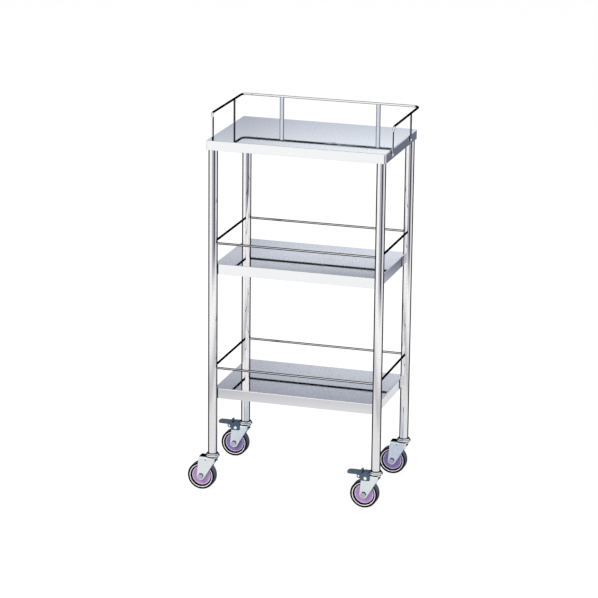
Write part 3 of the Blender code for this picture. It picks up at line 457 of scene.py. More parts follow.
def mesh_of(bm):
    """Turns a bmesh into a mesh with its faces pointing out."""
    bmesh.ops.remove_doubles(bm, verts=bm.verts, dist=TOUCHING)
    bmesh.ops.recalc_face_normals(bm, faces=bm.faces)
    mesh = bpy.data.meshes.new("piece")
    bm.to_mesh(mesh)
    bm.free()
    return mesh


def loft(loops):
    """A closed skin through loops with equal point counts, capped at both ends."""
    bm = bmesh.new()
    rings = [[bm.verts.new(point) for point in loop] for loop in loops]
    for ring, following in zip(rings, rings[1:]):
        for k in range(len(ring)):
            after = (k + 1) % len(ring)
            bm.faces.new((ring[k], ring[after], following[after], following[k]))
    bm.faces.new(rings[0])
    bm.faces.new(rings[-1])
    return mesh_of(bm)


def fit(name, mesh, material, body, slot, *nodes, at=(0, 0, 0)):
    """Puts a finished piece on its body in place of its solids."""
    mesh.name = name
    mesh.materials.append(material)
    mesh.shade_smooth()
    mesh.set_sharp_from_angle(angle=SHARP_ANGLE)
    item = placed(name, mesh, at)
    flat_first = item.modifiers.new("flat_first", "WEIGHTED_NORMAL")
    flat_first.keep_sharp = True
    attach(item, body)
    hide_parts(*nodes)
    return item


def pan_mesh(low, high, corner_radius):
    """A sheet pan with folded skirts, open below, that fills a box."""
    middle = (low + high) / 2
    half = (high - low) / 2

    def loop(inset, z):
        radius = max(corner_radius - inset, SHEET)
        points = []
        for corner, (sign_x, sign_y) in enumerate(((1, 1), (-1, 1), (-1, -1), (1, -1))):
            centre_x = middle.x + sign_x * (half.x - inset - radius)
            centre_y = middle.y + sign_y * (half.y - inset - radius)
            points += arc(centre_x, centre_y, radius, corner * QUARTER, (corner + 1) * QUARTER, FOLD_STEPS)
        return [(x, y, z) for x, y in points]

    edge = SHEET / 5
    fold_z = high.z - FOLD_RADIUS
    outside = [(edge, low.z), (0, low.z + edge)]
    outside += arc(FOLD_RADIUS, fold_z, FOLD_RADIUS, 2 * QUARTER, QUARTER, FOLD_STEPS)
    inside = [(SHEET - edge, low.z), (SHEET, low.z + edge)]
    inside += arc(FOLD_RADIUS, fold_z, FOLD_RADIUS - SHEET, 2 * QUARTER, QUARTER, FOLD_STEPS)
    return loft([loop(inset, z) for inset, z in outside[::-1] + inside])


across_group = polish_group("polish_along_x", stretch=(0.6, 60, 60), level_grain=True)
sheet_steel = polished_metal("sheet_steel", across_group, rough=(0.02, 0.06), tint=(0.93, 0.93, 0.94),
                             dull=(0.88, 0.885, 0.90), bump=0.03, grain=DECK_GRAIN)
top_low, top_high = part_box("top_board")
fit("top_board_sheet", pan_mesh(top_low, top_high, TOP_CORNER_RADIUS), sheet_steel, "frame", "polished_sheet",
    "top_board")

# Middle and bottom shelves: the same sheet, folded the same way, with each corner cut round its
# tube and welded to it. Their steel reads a shade darker than the top's.
SHELF_CORNER_RADIUS = 0.004
SEAT_GAP = 0.0001
NOTCH_FACETS = 128


def carve(mesh, steps):
    """Applies Boolean steps of (operation, cutter mesh) to a mesh and returns the result."""
    blank = placed("blank", mesh)
    cutters = []
    for operation, cutter_mesh in steps:
        cutters.append(placed("cutter", cutter_mesh))
        modifier = blank.modifiers.new(operation.lower(), "BOOLEAN")
        modifier.operation = operation
        modifier.solver = "EXACT"
        modifier.object = cutters[-1]
    bpy.context.view_layer.update()
    graph = bpy.context.evaluated_depsgraph_get()
    result = bpy.data.meshes.new_from_object(blank.evaluated_get(graph))
    for item in cutters + [blank]:
        bpy.data.objects.remove(item, do_unlink=True)
    bm = bmesh.new()
    bm.from_mesh(result)
    bmesh.ops.remove_doubles(bm, verts=bm.verts, dist=TOUCHING)
    bmesh.ops.dissolve_degenerate(bm, edges=bm.edges, dist=TOUCHING)
    bm.to_mesh(result)
    bm.free()
    return result


def turned(profile, facets, closed):
    """A profile of (radius, height) points spun round Z. A closed profile makes a ring."""
    bm = bmesh.new()
    verts = [bm.verts.new((radius, 0, height)) for radius, height in profile]
    ends = verts[1:] + verts[:1] if closed else verts[1:]
    edges = [bm.edges.new(pair) for pair in zip(verts, ends)]
    bmesh.ops.spin(bm, geom=verts + edges, cent=(0, 0, 0), axis=(0, 0, 1), angle=2 * math.pi,
                   steps=facets, use_merge=True)
    return mesh_of(bm)


def drill(radius, place, direction, length, facets=32):
    """A round cutter centred on a point, along X, Y or Z."""
    profile = [(0, -length / 2), (radius, -length / 2), (radius, length / 2), (0, length / 2)]
    turns = {
        "X": Matrix.Rotation(QUARTER, 4, "Y"),
        "Y": Matrix.Rotation(QUARTER, 4, "X"),
        "Z": Matrix.Identity(4),
    }
    mesh = turned(profile, facets, closed=False)
    mesh.transform(Matrix.Translation(place) @ turns[direction])
    return mesh


leg_low, leg_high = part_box("leg_front_left")
leg_radius = (leg_high.y - leg_low.y) / 2
shelf_steel = polished_metal("shelf_steel", across_group, rough=(0.02, 0.06), tint=(0.92, 0.92, 0.935),
                             dull=(0.86, 0.865, 0.885), bump=0.03, grain=DECK_GRAIN)
for shelf in ("middle_shelf", "bottom_shelf"):
    low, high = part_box(shelf)
    notches = []
    for corner in CORNERS:
        at = leg_axis(corner) + Vector((0, 0, (low.z + high.z) / 2))
        cutter = drill(leg_radius + SEAT_GAP, at, "Z", 2 * (high.z - low.z), NOTCH_FACETS)
        notches.append(("DIFFERENCE", cutter))
    mesh = carve(pan_mesh(low, high, SHELF_CORNER_RADIUS), notches)
    fit(shelf + "_sheet", mesh, shelf_steel, "frame", "polished_sheet", shelf)

# Legs: round stainless tube, polished along its length, open at the top under the board and
# closed at the foot by the caster's bush, where a thin black line of painted shade marks the joint.
LEG_WALL = 0.0012
LEG_FACETS = 64
LEG_EDGE = 0.0003
TUBE_SLANT = (0.28, 0.405, 0.02)
PAINTED_SHADE_HEIGHT = 0.0022
PAINTED_SHADE_BLACK = (0.03, 0.03, 0.03)
UNSHADED = (1, 1, 1)


def painted_shade_up_to(bottom, edge, height, top):
    """A painted shade that is black from a piece's bottom to just past an edge, and unshaded above it."""
    def shade(tree):
        return measured_ramp(tree, place_along(tree, "Z"), [
            (bottom, PAINTED_SHADE_BLACK), (edge + 0.8 * height, PAINTED_SHADE_BLACK), (edge + height, UNSHADED), (top, UNSHADED),
        ])
    return shade


upright_group = polish_group("polish_along_z", stretch=(60, 60, 0.6), level_grain=False)
# The tube's foot gets a thin band of painted shade at its joint with the collar.
foot_painted_shade = painted_shade_up_to(leg_low.z, leg_low.z, PAINTED_SHADE_HEIGHT, leg_high.z)
tube_steel = polished_metal("tube_steel", upright_group, rough=(0.025, 0.06), tint=(0.94, 0.93, 0.935),
                            dull=(0.90, 0.885, 0.89), bump=0.03, slant=TUBE_SLANT, shade_of=foot_painted_shade,
                            upright=True)
bore = leg_radius - LEG_WALL
tube_profile = [
    (bore, leg_low.z), (leg_radius - LEG_EDGE, leg_low.z), (leg_radius, leg_low.z + LEG_EDGE),
    (leg_radius, leg_high.z - LEG_EDGE), (leg_radius - LEG_EDGE, leg_high.z), (bore, leg_high.z),
]
for corner in CORNERS:
    mesh = turned(tube_profile, LEG_FACETS, closed=True)
    mesh.transform(Matrix.Translation(leg_axis(corner)))
    fit("leg_tube_" + corner, mesh, tube_steel, "frame", "polished_tube", "leg_" + corner)

# Top guard: one length of rod bent round three sides, whose front ends turn down as posts, and
# four posts welded under it. Every post is pressed flat to a strap and riveted to the skirt.
ROD_FACETS = 24
ROD_RADIUS = 0.003
TOP_RAIL_CORNER_RADIUS = 0.015
TOP_RAIL_END_RADIUS = 0.008
BEND_STEPS = 8
WELD_DEPTH = 0.0012
POST_WIDTH = 0.0118
POST_THICKNESS = 0.0024
POST_NECK = 0.006
POST_SQUARENESS = 0.25
POST_STEPS = 6
FOOT_DROP = 0.013
FOOT_END = 0.0052
FOOT_ROUNDNESS = 0.6
GUARD_SLANT = (0.12, 0.34, 0.02)
POST_SLANT = (0.36, 0.62, 0.02)
ROD_MIRRORED = 0.02
EDGE_SHADE_WIDTH = 0.0011
EDGE_SHADE = (0.30, 0.31, 0.34)
UP = Vector((0, 0, 1))
RIGHT = Vector((1, 0, 0))
REAR = Vector((0, 1, 0))


def painted_edge_shade(tree):
    """Painted shade along the two edges of a strap."""
    half_width = POST_WIDTH / 2
    return measured_ramp(tree, distance_from(tree, FLAT), [
        (0, UNSHADED), (half_width - 1.3 * EDGE_SHADE_WIDTH, UNSHADED), (half_width - EDGE_SHADE_WIDTH, EDGE_SHADE),
        (half_width, EDGE_SHADE),
    ])


def ring_at(centre, side, out, half_side=ROD_RADIUS, half_out=ROD_RADIUS, squareness=1.0):
    """Points round a rod or a strap at a place, spread along two directions."""
    points = []
    for step in range(ROD_FACETS):
        angle = 2 * math.pi * (step + 0.5) / ROD_FACETS
        across = math.copysign(abs(math.cos(angle)) ** squareness, math.cos(angle))
        away = math.copysign(abs(math.sin(angle)) ** squareness, math.sin(angle))
        points.append(centre + side * half_side * across + out * half_out * away)
    return points


def post_rings(foot, out, top, neck=0):
    """Rings up a post from the rounded tip of its strap to its top. Out points away from the skirt.

    A neck at the top turns the strap into round rod.
    """
    half_width = POST_WIDTH / 2
    strap = (half_width, POST_THICKNESS / 2, POST_THICKNESS / 2 - ROD_RADIUS, POST_SQUARENESS)
    rod = (ROD_RADIUS, ROD_RADIUS, 0, 1)
    tip_reach = FOOT_ROUNDNESS * half_width
    tip = arc(foot_z - FOOT_END + tip_reach, 0, tip_reach, 2 * QUARTER, QUARTER, POST_STEPS, half_width)
    sections = [(z, half, *strap[1:]) for z, half in tip[1:]]
    sections.append((top - neck, *strap))
    if neck:
        for k in range(1, POST_STEPS + 1):
            share = k / POST_STEPS
            ease = share * share * (3 - 2 * share)
            eased = [flat + (full - flat) * ease for flat, full in zip(strap, rod)]
            sections.append((top - neck + neck * share, *eased))
    side = UP.cross(out)
    return [
        ring_at(Vector((foot.x, foot.y, z)) + out * move, side, out, half_side, half_out, squareness)
        for z, half_side, half_out, move, squareness in sections
    ]


# Rods are painted near black in what other metal shows of them, a painted reflection.
rod_looks = dict(rough=(0.02, 0.05), tint=(0.95, 0.95, 0.96), dull=(0.90, 0.90, 0.92), bump=0.02,
                 mirrored=ROD_MIRRORED, grain=0.0)
guard_steel = polished_metal("guard_steel", upright_group, slant=GUARD_SLANT, plain_below=top_high.z,
                             **rod_looks)
# The posts' straps get painted shade along their edges.
post_steel = polished_metal("post_steel", upright_group, rough=(0.05, 0.10), tint=(0.72, 0.78, 0.85),
                            dull=(0.58, 0.64, 0.72), bump=0.02, slant=POST_SLANT, shade_of=painted_edge_shade,
                            plain_below=top_high.z)
rail_low, rail_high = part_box("top_rail")
foot_z = top_high.z - FOOT_DROP
top_rail_z = rail_high.z - ROD_RADIUS
rail_mid_x = (rail_low.x + rail_high.x) / 2
reach_x = rail_high.x - ROD_RADIUS - rail_mid_x
rail_back_y = rail_high.y - ROD_RADIUS
front_rivet_low, front_rivet_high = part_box("post_rivet_right_front")
front_post_y = (front_rivet_low.y + front_rivet_high.y) / 2
half_rail = post_rings(Vector((0, front_post_y, 0)), RIGHT, top_rail_z - TOP_RAIL_END_RADIUS, POST_NECK)
end_bend = arc(front_post_y + TOP_RAIL_END_RADIUS, top_rail_z - TOP_RAIL_END_RADIUS, TOP_RAIL_END_RADIUS,
               2 * QUARTER, QUARTER, BEND_STEPS)
for k in range(1, BEND_STEPS + 1):
    angle = k * QUARTER / BEND_STEPS
    side = Vector((0, math.cos(angle), -math.sin(angle)))
    half_rail.append(ring_at(Vector((0, *end_bend[k])), side, RIGHT))
corner_bend = arc(-TOP_RAIL_CORNER_RADIUS, rail_back_y - TOP_RAIL_CORNER_RADIUS, TOP_RAIL_CORNER_RADIUS,
                  0, QUARTER, BEND_STEPS)
for k, (x, y) in enumerate(corner_bend):
    angle = k * QUARTER / BEND_STEPS
    half_rail.append(ring_at(Vector((x, y, top_rail_z)), -UP, Vector((math.cos(angle), math.sin(angle), 0))))
right_rail = [[Vector((rail_mid_x + reach_x + p.x, p.y, p.z)) for p in ring] for ring in half_rail]
left_rail = [[Vector((rail_mid_x - reach_x - p.x, p.y, p.z)) for p in ring] for ring in half_rail[::-1]]
fit("top_rail_rod", loft(right_rail + left_rail), guard_steel, "frame", "polished_tube", "top_rail")
post_outs = {"left_rear": -RIGHT, "rear_left": REAR, "rear_right": REAR, "right_rear": RIGHT}
for name, out in post_outs.items():
    low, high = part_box("rail_post_" + name)
    depth = abs((high - low).dot(out))
    foot = (low + high) / 2 + out * (ROD_RADIUS - depth / 2)
    foot.z = 0
    rings = post_rings(Vector(), out, top_rail_z - ROD_RADIUS + WELD_DEPTH)
    fit("post_rod_" + name, loft(rings), post_steel, "frame", "polished_tube", "rail_post_" + name, at=foot)

# Rivets: domed outside the feet and upset behind the skirt. They are tumbled to a satin white, so
# they stand out from the polished skirt.
RIVET_FACETS = 24
RIVET_HEAD_RADIUS = 0.0031
RIVET_HEAD_HEIGHT = 0.0013
RIVET_SHANK_RADIUS = 0.0016
RIVET_TAIL_RADIUS = 0.0026
RIVET_TAIL_HEIGHT = 0.0012
RIVET_TAIL_EDGE = (0.0003, 0.0002)
RIVET_SATIN = 0.15
DOME_STEPS = 6


def dome(radius, height, top):
    """The profile of a rounded head, from its middle down to its rim."""
    return arc(0, top - height, radius, QUARTER, 0, DOME_STEPS, height)


rivet_steel = polished_metal("rivet_steel", upright_group, rough=(0.3, 0.4), tint=(0.96, 0.96, 0.97),
                             dull=(0.90, 0.90, 0.92), bump=0.02)
rivet_steel.node_tree.nodes["Principled BSDF"].inputs["Metallic"].default_value = RIVET_SATIN
rivet_outs = dict(post_outs, left_front=-RIGHT, right_front=RIGHT)
for name, out in rivet_outs.items():
    low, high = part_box("post_rivet_" + name)
    length = abs((high - low).dot(out))
    profile = dome(RIVET_HEAD_RADIUS, RIVET_HEAD_HEIGHT, length) + [
        (RIVET_SHANK_RADIUS, length - RIVET_HEAD_HEIGHT), (RIVET_SHANK_RADIUS, RIVET_TAIL_HEIGHT),
        (RIVET_TAIL_RADIUS, RIVET_TAIL_HEIGHT), (RIVET_TAIL_RADIUS, RIVET_TAIL_EDGE[1]),
        (RIVET_TAIL_RADIUS - RIVET_TAIL_EDGE[0], 0), (0, 0),
    ]
    mesh = turned(profile, RIVET_FACETS, closed=False)
    tail = (low + high) / 2 - out * length / 2
    mesh.transform(Matrix.Translation(tail) @ out.to_track_quat("Z", "Y").to_matrix().to_4x4())
    fit("rivet_" + name, mesh, rivet_steel, "frame", "polished_tube", "post_rivet_" + name)

# Shelf rails: straight rods between the tubes, four to a shelf, welded at their ends. Their colour is
# painted dark at all but the smallest slants, so only a thin bright line shows along them.
ROD_SLANT = (0.040, 0.085, 0.01)
rod_steel = polished_metal("rod_steel", upright_group, slant=ROD_SLANT, **rod_looks)
for deck in ("middle", "bottom"):
    for side, along in (("front", RIGHT), ("rear", RIGHT), ("left", REAR), ("right", REAR)):
        node = "%s_rail_%s" % (deck, side)
        low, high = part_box(node)
        half = (high - low).dot(along) / 2 + WELD_DEPTH / 2
        ends = [(low + high) / 2 + along * reach for reach in (-half, half)]
        rings = [ring_at(end, UP.cross(along), UP) for end in ends]
        fit(node + "_rod", loft(rings), rod_steel, "frame", "polished_tube", node)

# Leg bushes and swivel heads: turned and zinc plated. The bush's collar shows under the tube, and
# the head's plate under that; a cup and a kingpin nut close the ball race under the fork's crown.
HEAD_FACETS = 64
ZINC_SLANT = (0.46, 0.70, 0.04)
PLATE_SHADE_HEIGHT = 0.0013
LEG_BORE_GAP = 0.0003
COLLAR_EDGE = 0.0006
COLLAR_THICKNESS = 0.0033
HEAD_THICKNESS = 0.0041
HEAD_CHAMFER = 0.0013
HEAD_CHAMFER_STEPS = 4
HEAD_EDGE = 0.0004
STUD_RADIUS = 0.005
STUD_LENGTH = 0.030
KINGPIN_RADIUS = 0.006
KINGPIN_NUT_RADIUS = 0.006
KINGPIN_NUT_HEIGHT = 0.0046
KINGPIN_NUT_EDGE = 0.0008
CUP_RADIUS = 0.0125
CUP_EDGE = 0.0006
CUP_CHAMFER = 0.0026
CUP_CHAMFER_STEPS = 6
CUP_DEPTH = 0.0048
LOOP_POINTS = 24


def hex_loop(across_flats, height):
    """A hexagon with its points in step with round_loop."""
    points = []
    for k in range(LOOP_POINTS):
        angle = 2 * math.pi * k / LOOP_POINTS
        off = (angle + math.pi / 6) % (math.pi / 3) - math.pi / 6
        radius = across_flats / 2 / math.cos(math.pi / 6 - abs(off))
        points.append((radius * math.cos(angle), radius * math.sin(angle), height))
    return points


def round_loop(radius, height):
    """A circle of points."""
    angles = [2 * math.pi * k / LOOP_POINTS for k in range(LOOP_POINTS)]
    return [(radius * math.cos(a), radius * math.sin(a), height) for a in angles]


def joined(*meshes):
    """One mesh of several."""
    bm = bmesh.new()
    for mesh in meshes:
        bm.from_mesh(mesh)
    result = bpy.data.meshes.new("piece")
    bm.to_mesh(result)
    bm.free()
    return result


def bush_profile(low, high):
    """The threaded bush in a tube's foot, with its collar below."""
    collar_radius = (high.y - low.y) / 2
    collar_top = low.z + COLLAR_THICKNESS
    plug = bore - LEG_BORE_GAP
    stud_bore = STUD_RADIUS + LEG_BORE_GAP
    return [
        (stud_bore, low.z), (collar_radius - COLLAR_EDGE, low.z), (collar_radius, low.z + COLLAR_EDGE),
        (collar_radius, collar_top - COLLAR_EDGE), (collar_radius - COLLAR_EDGE, collar_top),
        (plug, collar_top), (plug, high.z), (stud_bore, high.z),
    ]


def head_profile(low, high):
    """The swivel head: its stud, plate, kingpin and cup, from the top down."""
    head_radius = (high.y - low.y) / 2
    head_top = high.z - STUD_LENGTH
    head_bottom = head_top - HEAD_THICKNESS
    cup_bottom = low.z + KINGPIN_NUT_HEIGHT
    cup_top = cup_bottom + CUP_DEPTH
    profile = [(0, high.z), (STUD_RADIUS - HEAD_EDGE, high.z), (STUD_RADIUS, high.z - HEAD_EDGE),
               (STUD_RADIUS, head_top)]
    profile += arc(head_radius - HEAD_CHAMFER, head_top - HEAD_CHAMFER, HEAD_CHAMFER, QUARTER, 0,
                   HEAD_CHAMFER_STEPS)
    profile += [
        (head_radius, head_bottom + HEAD_EDGE), (head_radius - HEAD_EDGE, head_bottom),
        (KINGPIN_RADIUS, head_bottom), (KINGPIN_RADIUS, cup_top), (CUP_RADIUS - CUP_EDGE, cup_top),
        (CUP_RADIUS, cup_top - CUP_EDGE),
    ]
    profile += arc(CUP_RADIUS - CUP_CHAMFER, cup_bottom + CUP_CHAMFER, CUP_CHAMFER, 0, -QUARTER,
                   CUP_CHAMFER_STEPS)
    return profile + [(0, cup_bottom)]


zinc_group = polish_group("zinc_haze", stretch=EVEN, level_grain=False)
zinc_looks = dict(rough=(0.14, 0.26), tint=(0.93, 0.96, 0.965), dull=(0.84, 0.89, 0.91), bump=0.08,
                  slant=ZINC_SLANT)
zinc = polished_metal("bright_zinc", zinc_group, **zinc_looks)
first_head_low, first_head_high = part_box("swivel_head_front_left")
plate_bottom = first_head_high.z - STUD_LENGTH - HEAD_THICKNESS
# The heads' plates are painted black along their lower edge, a painted shade in the gap above the crown.
plate_painted_shade = painted_shade_up_to(first_head_low.z, plate_bottom, PLATE_SHADE_HEIGHT, first_head_high.z)
head_zinc = polished_metal("head_zinc", zinc_group, shade_of=plate_painted_shade, **zinc_looks)
nut_flats = 2 * KINGPIN_NUT_RADIUS * math.cos(math.pi / 6)
for corner in CORNERS:
    axis = Matrix.Translation(leg_axis(corner))
    bush = turned(bush_profile(*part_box("leg_bush_" + corner)), HEAD_FACETS, closed=True)
    bush.transform(axis)
    fit("bush_" + corner, bush, zinc, "frame", "bright_zinc", "leg_bush_" + corner)
    low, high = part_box("swivel_head_" + corner)
    nut = loft([
        hex_loop(nut_flats, low.z + KINGPIN_NUT_HEIGHT + HEAD_EDGE),
        hex_loop(nut_flats, low.z + KINGPIN_NUT_EDGE),
        round_loop(KINGPIN_NUT_RADIUS - KINGPIN_NUT_EDGE, low.z),
    ])
    head = joined(turned(head_profile(low, high), HEAD_FACETS, closed=False), nut)
    head.transform(axis)
    fit("swivel_" + corner, head, head_zinc, "frame", "bright_zinc", "swivel_head_" + corner)

# Forks: yokes pressed from zinc plated sheet, with a raised ball race on the crown, straight rear
# edges, slanted front edges and a round eye at the axle.
BRAKED = ("front_right", "rear_left")
FORK_SHEET = 0.0028
FORK_EDGE = 0.0004
FORK_FOLD_RADIUS = 0.0045
FORK_REAR_REACH = 0.034
FORK_FRONT_REACH = 0.015
FORK_NOSE_RADIUS = 0.020
FORK_EYE_RADIUS = 0.0105
FORK_SHOULDER_X = 0.0066
FORK_SHOULDER_DROP = 0.0135
FORK_DRILLING_X = 0.0150
FORK_DRILLING_DROP = 0.0048
FORK_DRILLING_RADIUS = 0.0016
EYE_STEPS = 32
NOSE_STEPS = 40
OUTER_FOLD_STEPS = 10
INNER_FOLD_STEPS = 6
TRAIL = 0.0286
SWIVEL_GAP = 0.0018
RUNNING_GAP = 0.0003
RACE_INNER_RADIUS = 0.0086
RACE_WIDTH = 0.0026
AXLE_RADIUS = 0.004
BRAKE_PIN_RADIUS = 0.003
wheel_low, wheel_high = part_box("tyre_front_left")
wheel_radius = (wheel_low.z + wheel_high.z) / 2
fork_low, fork_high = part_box("fork_front_left")
fork_outer = (fork_high.y - fork_low.y) / 2
fork_inner = fork_outer - FORK_SHEET
race_top = fork_high.z
crown_top = race_top + RUNNING_GAP - SWIVEL_GAP
crown_under = crown_top - FORK_SHEET


def prism(outline, low, high, axis):
    """An outline of (u, v) points extruded along an axis from low to high."""
    places = {
        "X": lambda u, v, w: (w, u, v),
        "Y": lambda u, v, w: (u, w, v),
        "Z": lambda u, v, w: (u, v, w),
    }
    bm = bmesh.new()
    face = bm.faces.new([bm.verts.new(places[axis](u, v, low)) for u, v in outline])
    grown = bmesh.ops.extrude_face_region(bm, geom=[face])
    moved = [item for item in grown["geom"] if isinstance(item, bmesh.types.BMVert)]
    bmesh.ops.translate(bm, verts=moved, vec=Vector(places[axis](0, 0, high - low)))
    return mesh_of(bm)


def tangent_angle(point, centre, radius, side):
    """Angle on a circle where a line from an outside point touches it, on one side or the other."""
    du = point[0] - centre[0]
    dv = point[1] - centre[1]
    return math.atan2(dv, du) + side * math.acos(radius / math.hypot(du, dv))


def fork_mesh(corner):
    """The pressed fork about its swivel axis."""
    eye_centre = (-TRAIL, wheel_radius)
    rear_top = (-FORK_REAR_REACH, crown_top)
    shoulder = (FORK_SHOULDER_X, crown_under - FORK_SHOULDER_DROP)
    rear_angle = tangent_angle(rear_top, eye_centre, FORK_EYE_RADIUS, 1)
    front_angle = tangent_angle(shoulder, eye_centre, FORK_EYE_RADIUS, -1)
    if front_angle < rear_angle:
        front_angle += 2 * math.pi
    side = [rear_top] + arc(*eye_centre, FORK_EYE_RADIUS, rear_angle, front_angle, EYE_STEPS)
    side += [shoulder, (FORK_FRONT_REACH, shoulder[1]), (FORK_FRONT_REACH, crown_top)]
    lowest = wheel_radius - 2 * FORK_EYE_RADIUS
    fold_centre = (fork_outer - FORK_FOLD_RADIUS, crown_top - FORK_FOLD_RADIUS)
    outer = [(fork_outer, lowest)] + arc(*fold_centre, FORK_FOLD_RADIUS, 0, QUARTER, OUTER_FOLD_STEPS)
    inner = arc(*fold_centre, FORK_FOLD_RADIUS - FORK_SHEET, QUARTER, 0, INNER_FOLD_STEPS)
    inner += [(fork_inner, lowest)]
    channel = outer + [(-y, z) for y, z in outer[::-1]] + [(-y, z) for y, z in inner[::-1]] + inner
    span = FORK_REAR_REACH + FORK_FRONT_REACH + TRAIL
    plan = arc(FORK_FRONT_REACH - FORK_NOSE_RADIUS, 0, FORK_NOSE_RADIUS, -QUARTER, QUARTER, NOSE_STEPS)
    plan += [(-span, FORK_NOSE_RADIUS), (-span, -FORK_NOSE_RADIUS)]
    race_outer = RACE_INNER_RADIUS + RACE_WIDTH
    race_root = crown_top - FORK_SHEET / 3
    race = [(RACE_INNER_RADIUS, race_root), (race_outer, race_root), (race_outer, race_top - RUNNING_GAP),
            (race_outer - RUNNING_GAP, race_top), (RACE_INNER_RADIUS, race_top)]
    through = 3 * fork_outer
    kingpin_hole = drill(KINGPIN_RADIUS + RUNNING_GAP, (0, 0, crown_top), "Z", 4 * FORK_SHEET, HEAD_FACETS)
    steps = [
        ("INTERSECT", prism(side, -2 * fork_outer, 2 * fork_outer, "Y")),
        ("INTERSECT", prism(plan, 0, crown_top + FORK_SHEET, "Z")),
        ("UNION", turned(race, HEAD_FACETS, closed=True)),
        ("DIFFERENCE", kingpin_hole),
        ("DIFFERENCE", drill(AXLE_RADIUS + RUNNING_GAP, (-TRAIL, 0, wheel_radius), "Y", through)),
    ]
    if corner in BRAKED:
        pin_low, pin_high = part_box("brake_pin_" + corner)
        pin = (pin_low + pin_high) / 2 - leg_axis(corner)
        steps.append(("DIFFERENCE", drill(BRAKE_PIN_RADIUS + RUNNING_GAP, (pin.x, 0, pin.z), "Y", through)))
    else:
        at = (-FORK_DRILLING_X, 0, crown_under - FORK_DRILLING_DROP)
        steps.append(("DIFFERENCE", drill(FORK_DRILLING_RADIUS, at, "Y", through)))
    return carve(prism(channel, -span, span, "X"), steps)


def soften(item, width):
    """A small rounding on every sharp edge of a piece."""
    rounding = item.modifiers.new("rounding", "BEVEL")
    rounding.width = width
    rounding.segments = 2
    rounding.limit_method = "ANGLE"
    rounding.angle_limit = SHARP_ANGLE
    item.modifiers.move(len(item.modifiers) - 1, 0)


for corner in CORNERS:
    mesh = fork_mesh(corner)
    mesh.transform(Matrix.Translation(leg_axis(corner)))
    press = fit("fork_press_" + corner, mesh, zinc, "caster_" + corner, "bright_zinc", "fork_" + corner)
    soften(press, FORK_EDGE)

# Axle bolts and nuts: M8 hexagon hardware of zinc plated steel, with the head to the front. Each
# bolt goes through the fork's two eyes and the wheel's boss.
HEX_CHAMFER = 0.0009
HEX_ACROSS_FLATS = 0.013
BOLT_HEAD_HEIGHT = 0.0053
BOLT_SLANT = (0.38, 0.68, 0.05)
bolt_steel = polished_metal("bolt_steel", zinc_group, rough=(0.16, 0.28), tint=(0.66, 0.63, 0.72),
                            dull=(0.52, 0.50, 0.58), bump=0.05, slant=BOLT_SLANT)
lying = Matrix.Rotation(QUARTER, 4, "X")
hex_crown = (HEX_ACROSS_FLATS - HEX_CHAMFER) / 2
nut_bore = AXLE_RADIUS + RUNNING_GAP / 3


def axle_at(corner):
    """The middle of a caster's axle."""
    return leg_axis(corner) + Vector((-TRAIL, 0, wheel_radius))


for corner in CORNERS:
    axle = axle_at(corner)
    onto_axle = Matrix.Translation(axle) @ lying
    bolt_low, bolt_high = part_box("axle_bolt_" + corner)
    head_end = axle.y - bolt_low.y
    head_base = head_end - BOLT_HEAD_HEIGHT
    thread_end = axle.y - bolt_high.y
    bolt = loft([
        round_loop(AXLE_RADIUS - HEX_CHAMFER, thread_end), round_loop(AXLE_RADIUS, thread_end + HEX_CHAMFER),
        round_loop(AXLE_RADIUS, head_base), hex_loop(HEX_ACROSS_FLATS, head_base),
        hex_loop(HEX_ACROSS_FLATS, head_end - HEX_CHAMFER), round_loop(hex_crown, head_end),
    ])
    bolt.transform(onto_axle)
    fit("bolt_" + corner, bolt, bolt_steel, "caster_" + corner, "bright_zinc", "axle_bolt_" + corner)
    nut_low, nut_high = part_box("axle_nut_" + corner)
    nut_base = axle.y - nut_low.y
    nut_end = axle.y - nut_high.y
    nut = loft([
        round_loop(nut_bore, nut_base), hex_loop(HEX_ACROSS_FLATS, nut_base),
        hex_loop(HEX_ACROSS_FLATS, nut_end + HEX_CHAMFER), round_loop(hex_crown, nut_end),
        round_loop(nut_bore, nut_end),
    ])
    nut.transform(onto_axle)
    fit("nut_" + corner, nut, bolt_steel, "caster_" + corner, "bright_zinc", "axle_nut_" + corner)

# Tyres: charcoal rubber moulded round the wheel centre, with rounded shoulders and a fine
# moulding line round the middle of the tread. The tread carries pale floor dust, the sides none.
WHEEL_FACETS = 128
TYRE_THICKNESS = 0.0045
TYRE_SHOULDER = 0.0026
TYRE_SHOULDER_STEPS = 8
MOULD_LINE = 0.00012
SIDE_RUBBER = (0.004, 0.004, 0.010)
DUSTY_RUBBER = (0.105, 0.130, 0.190)
ROUND_Y = (1, 0, 1)
MOTTLE_SPAN = (0.3, 0.7)
MOTTLE_DETAIL = 6.0
SKIN_DEPTH = 0.0002


def mottled_moulding(name, scale, gloss, specular, bump, colour_of, mottle, slant):
    """A moulded material: a colour picked by a function, mottled by noise, with painted shade at its slants.
    """
    material = bpy.data.materials.new(name)
    material.use_nodes = True
    tree = material.node_tree
    shader = tree.nodes["Principled BSDF"]
    shader.inputs["Specular IOR Level"].default_value = specular
    patches = {"Vector": own_place(tree), "Scale": scale, "Detail": MOTTLE_DETAIL}
    noise = add_node(tree, "ShaderNodeTexNoise", patches).outputs["Fac"]
    mottling = rescaled(tree, noise, *MOTTLE_SPAN, 1 - mottle, 1 + mottle)
    colour = shaded_colour(tree, colour_of(tree), mottling)
    colour = shaded_colour(tree, colour, slant_shade(tree, *slant))
    skin = {"Height": noise, "Strength": bump, "Distance": SKIN_DEPTH}
    tree.links.new(colour, shader.inputs["Base Color"])
    tree.links.new(rescaled(tree, noise, 0.0, 1.0, *gloss), shader.inputs["Roughness"])
    tree.links.new(add_node(tree, "ShaderNodeBump", skin).outputs["Normal"], shader.inputs["Normal"])
    return material


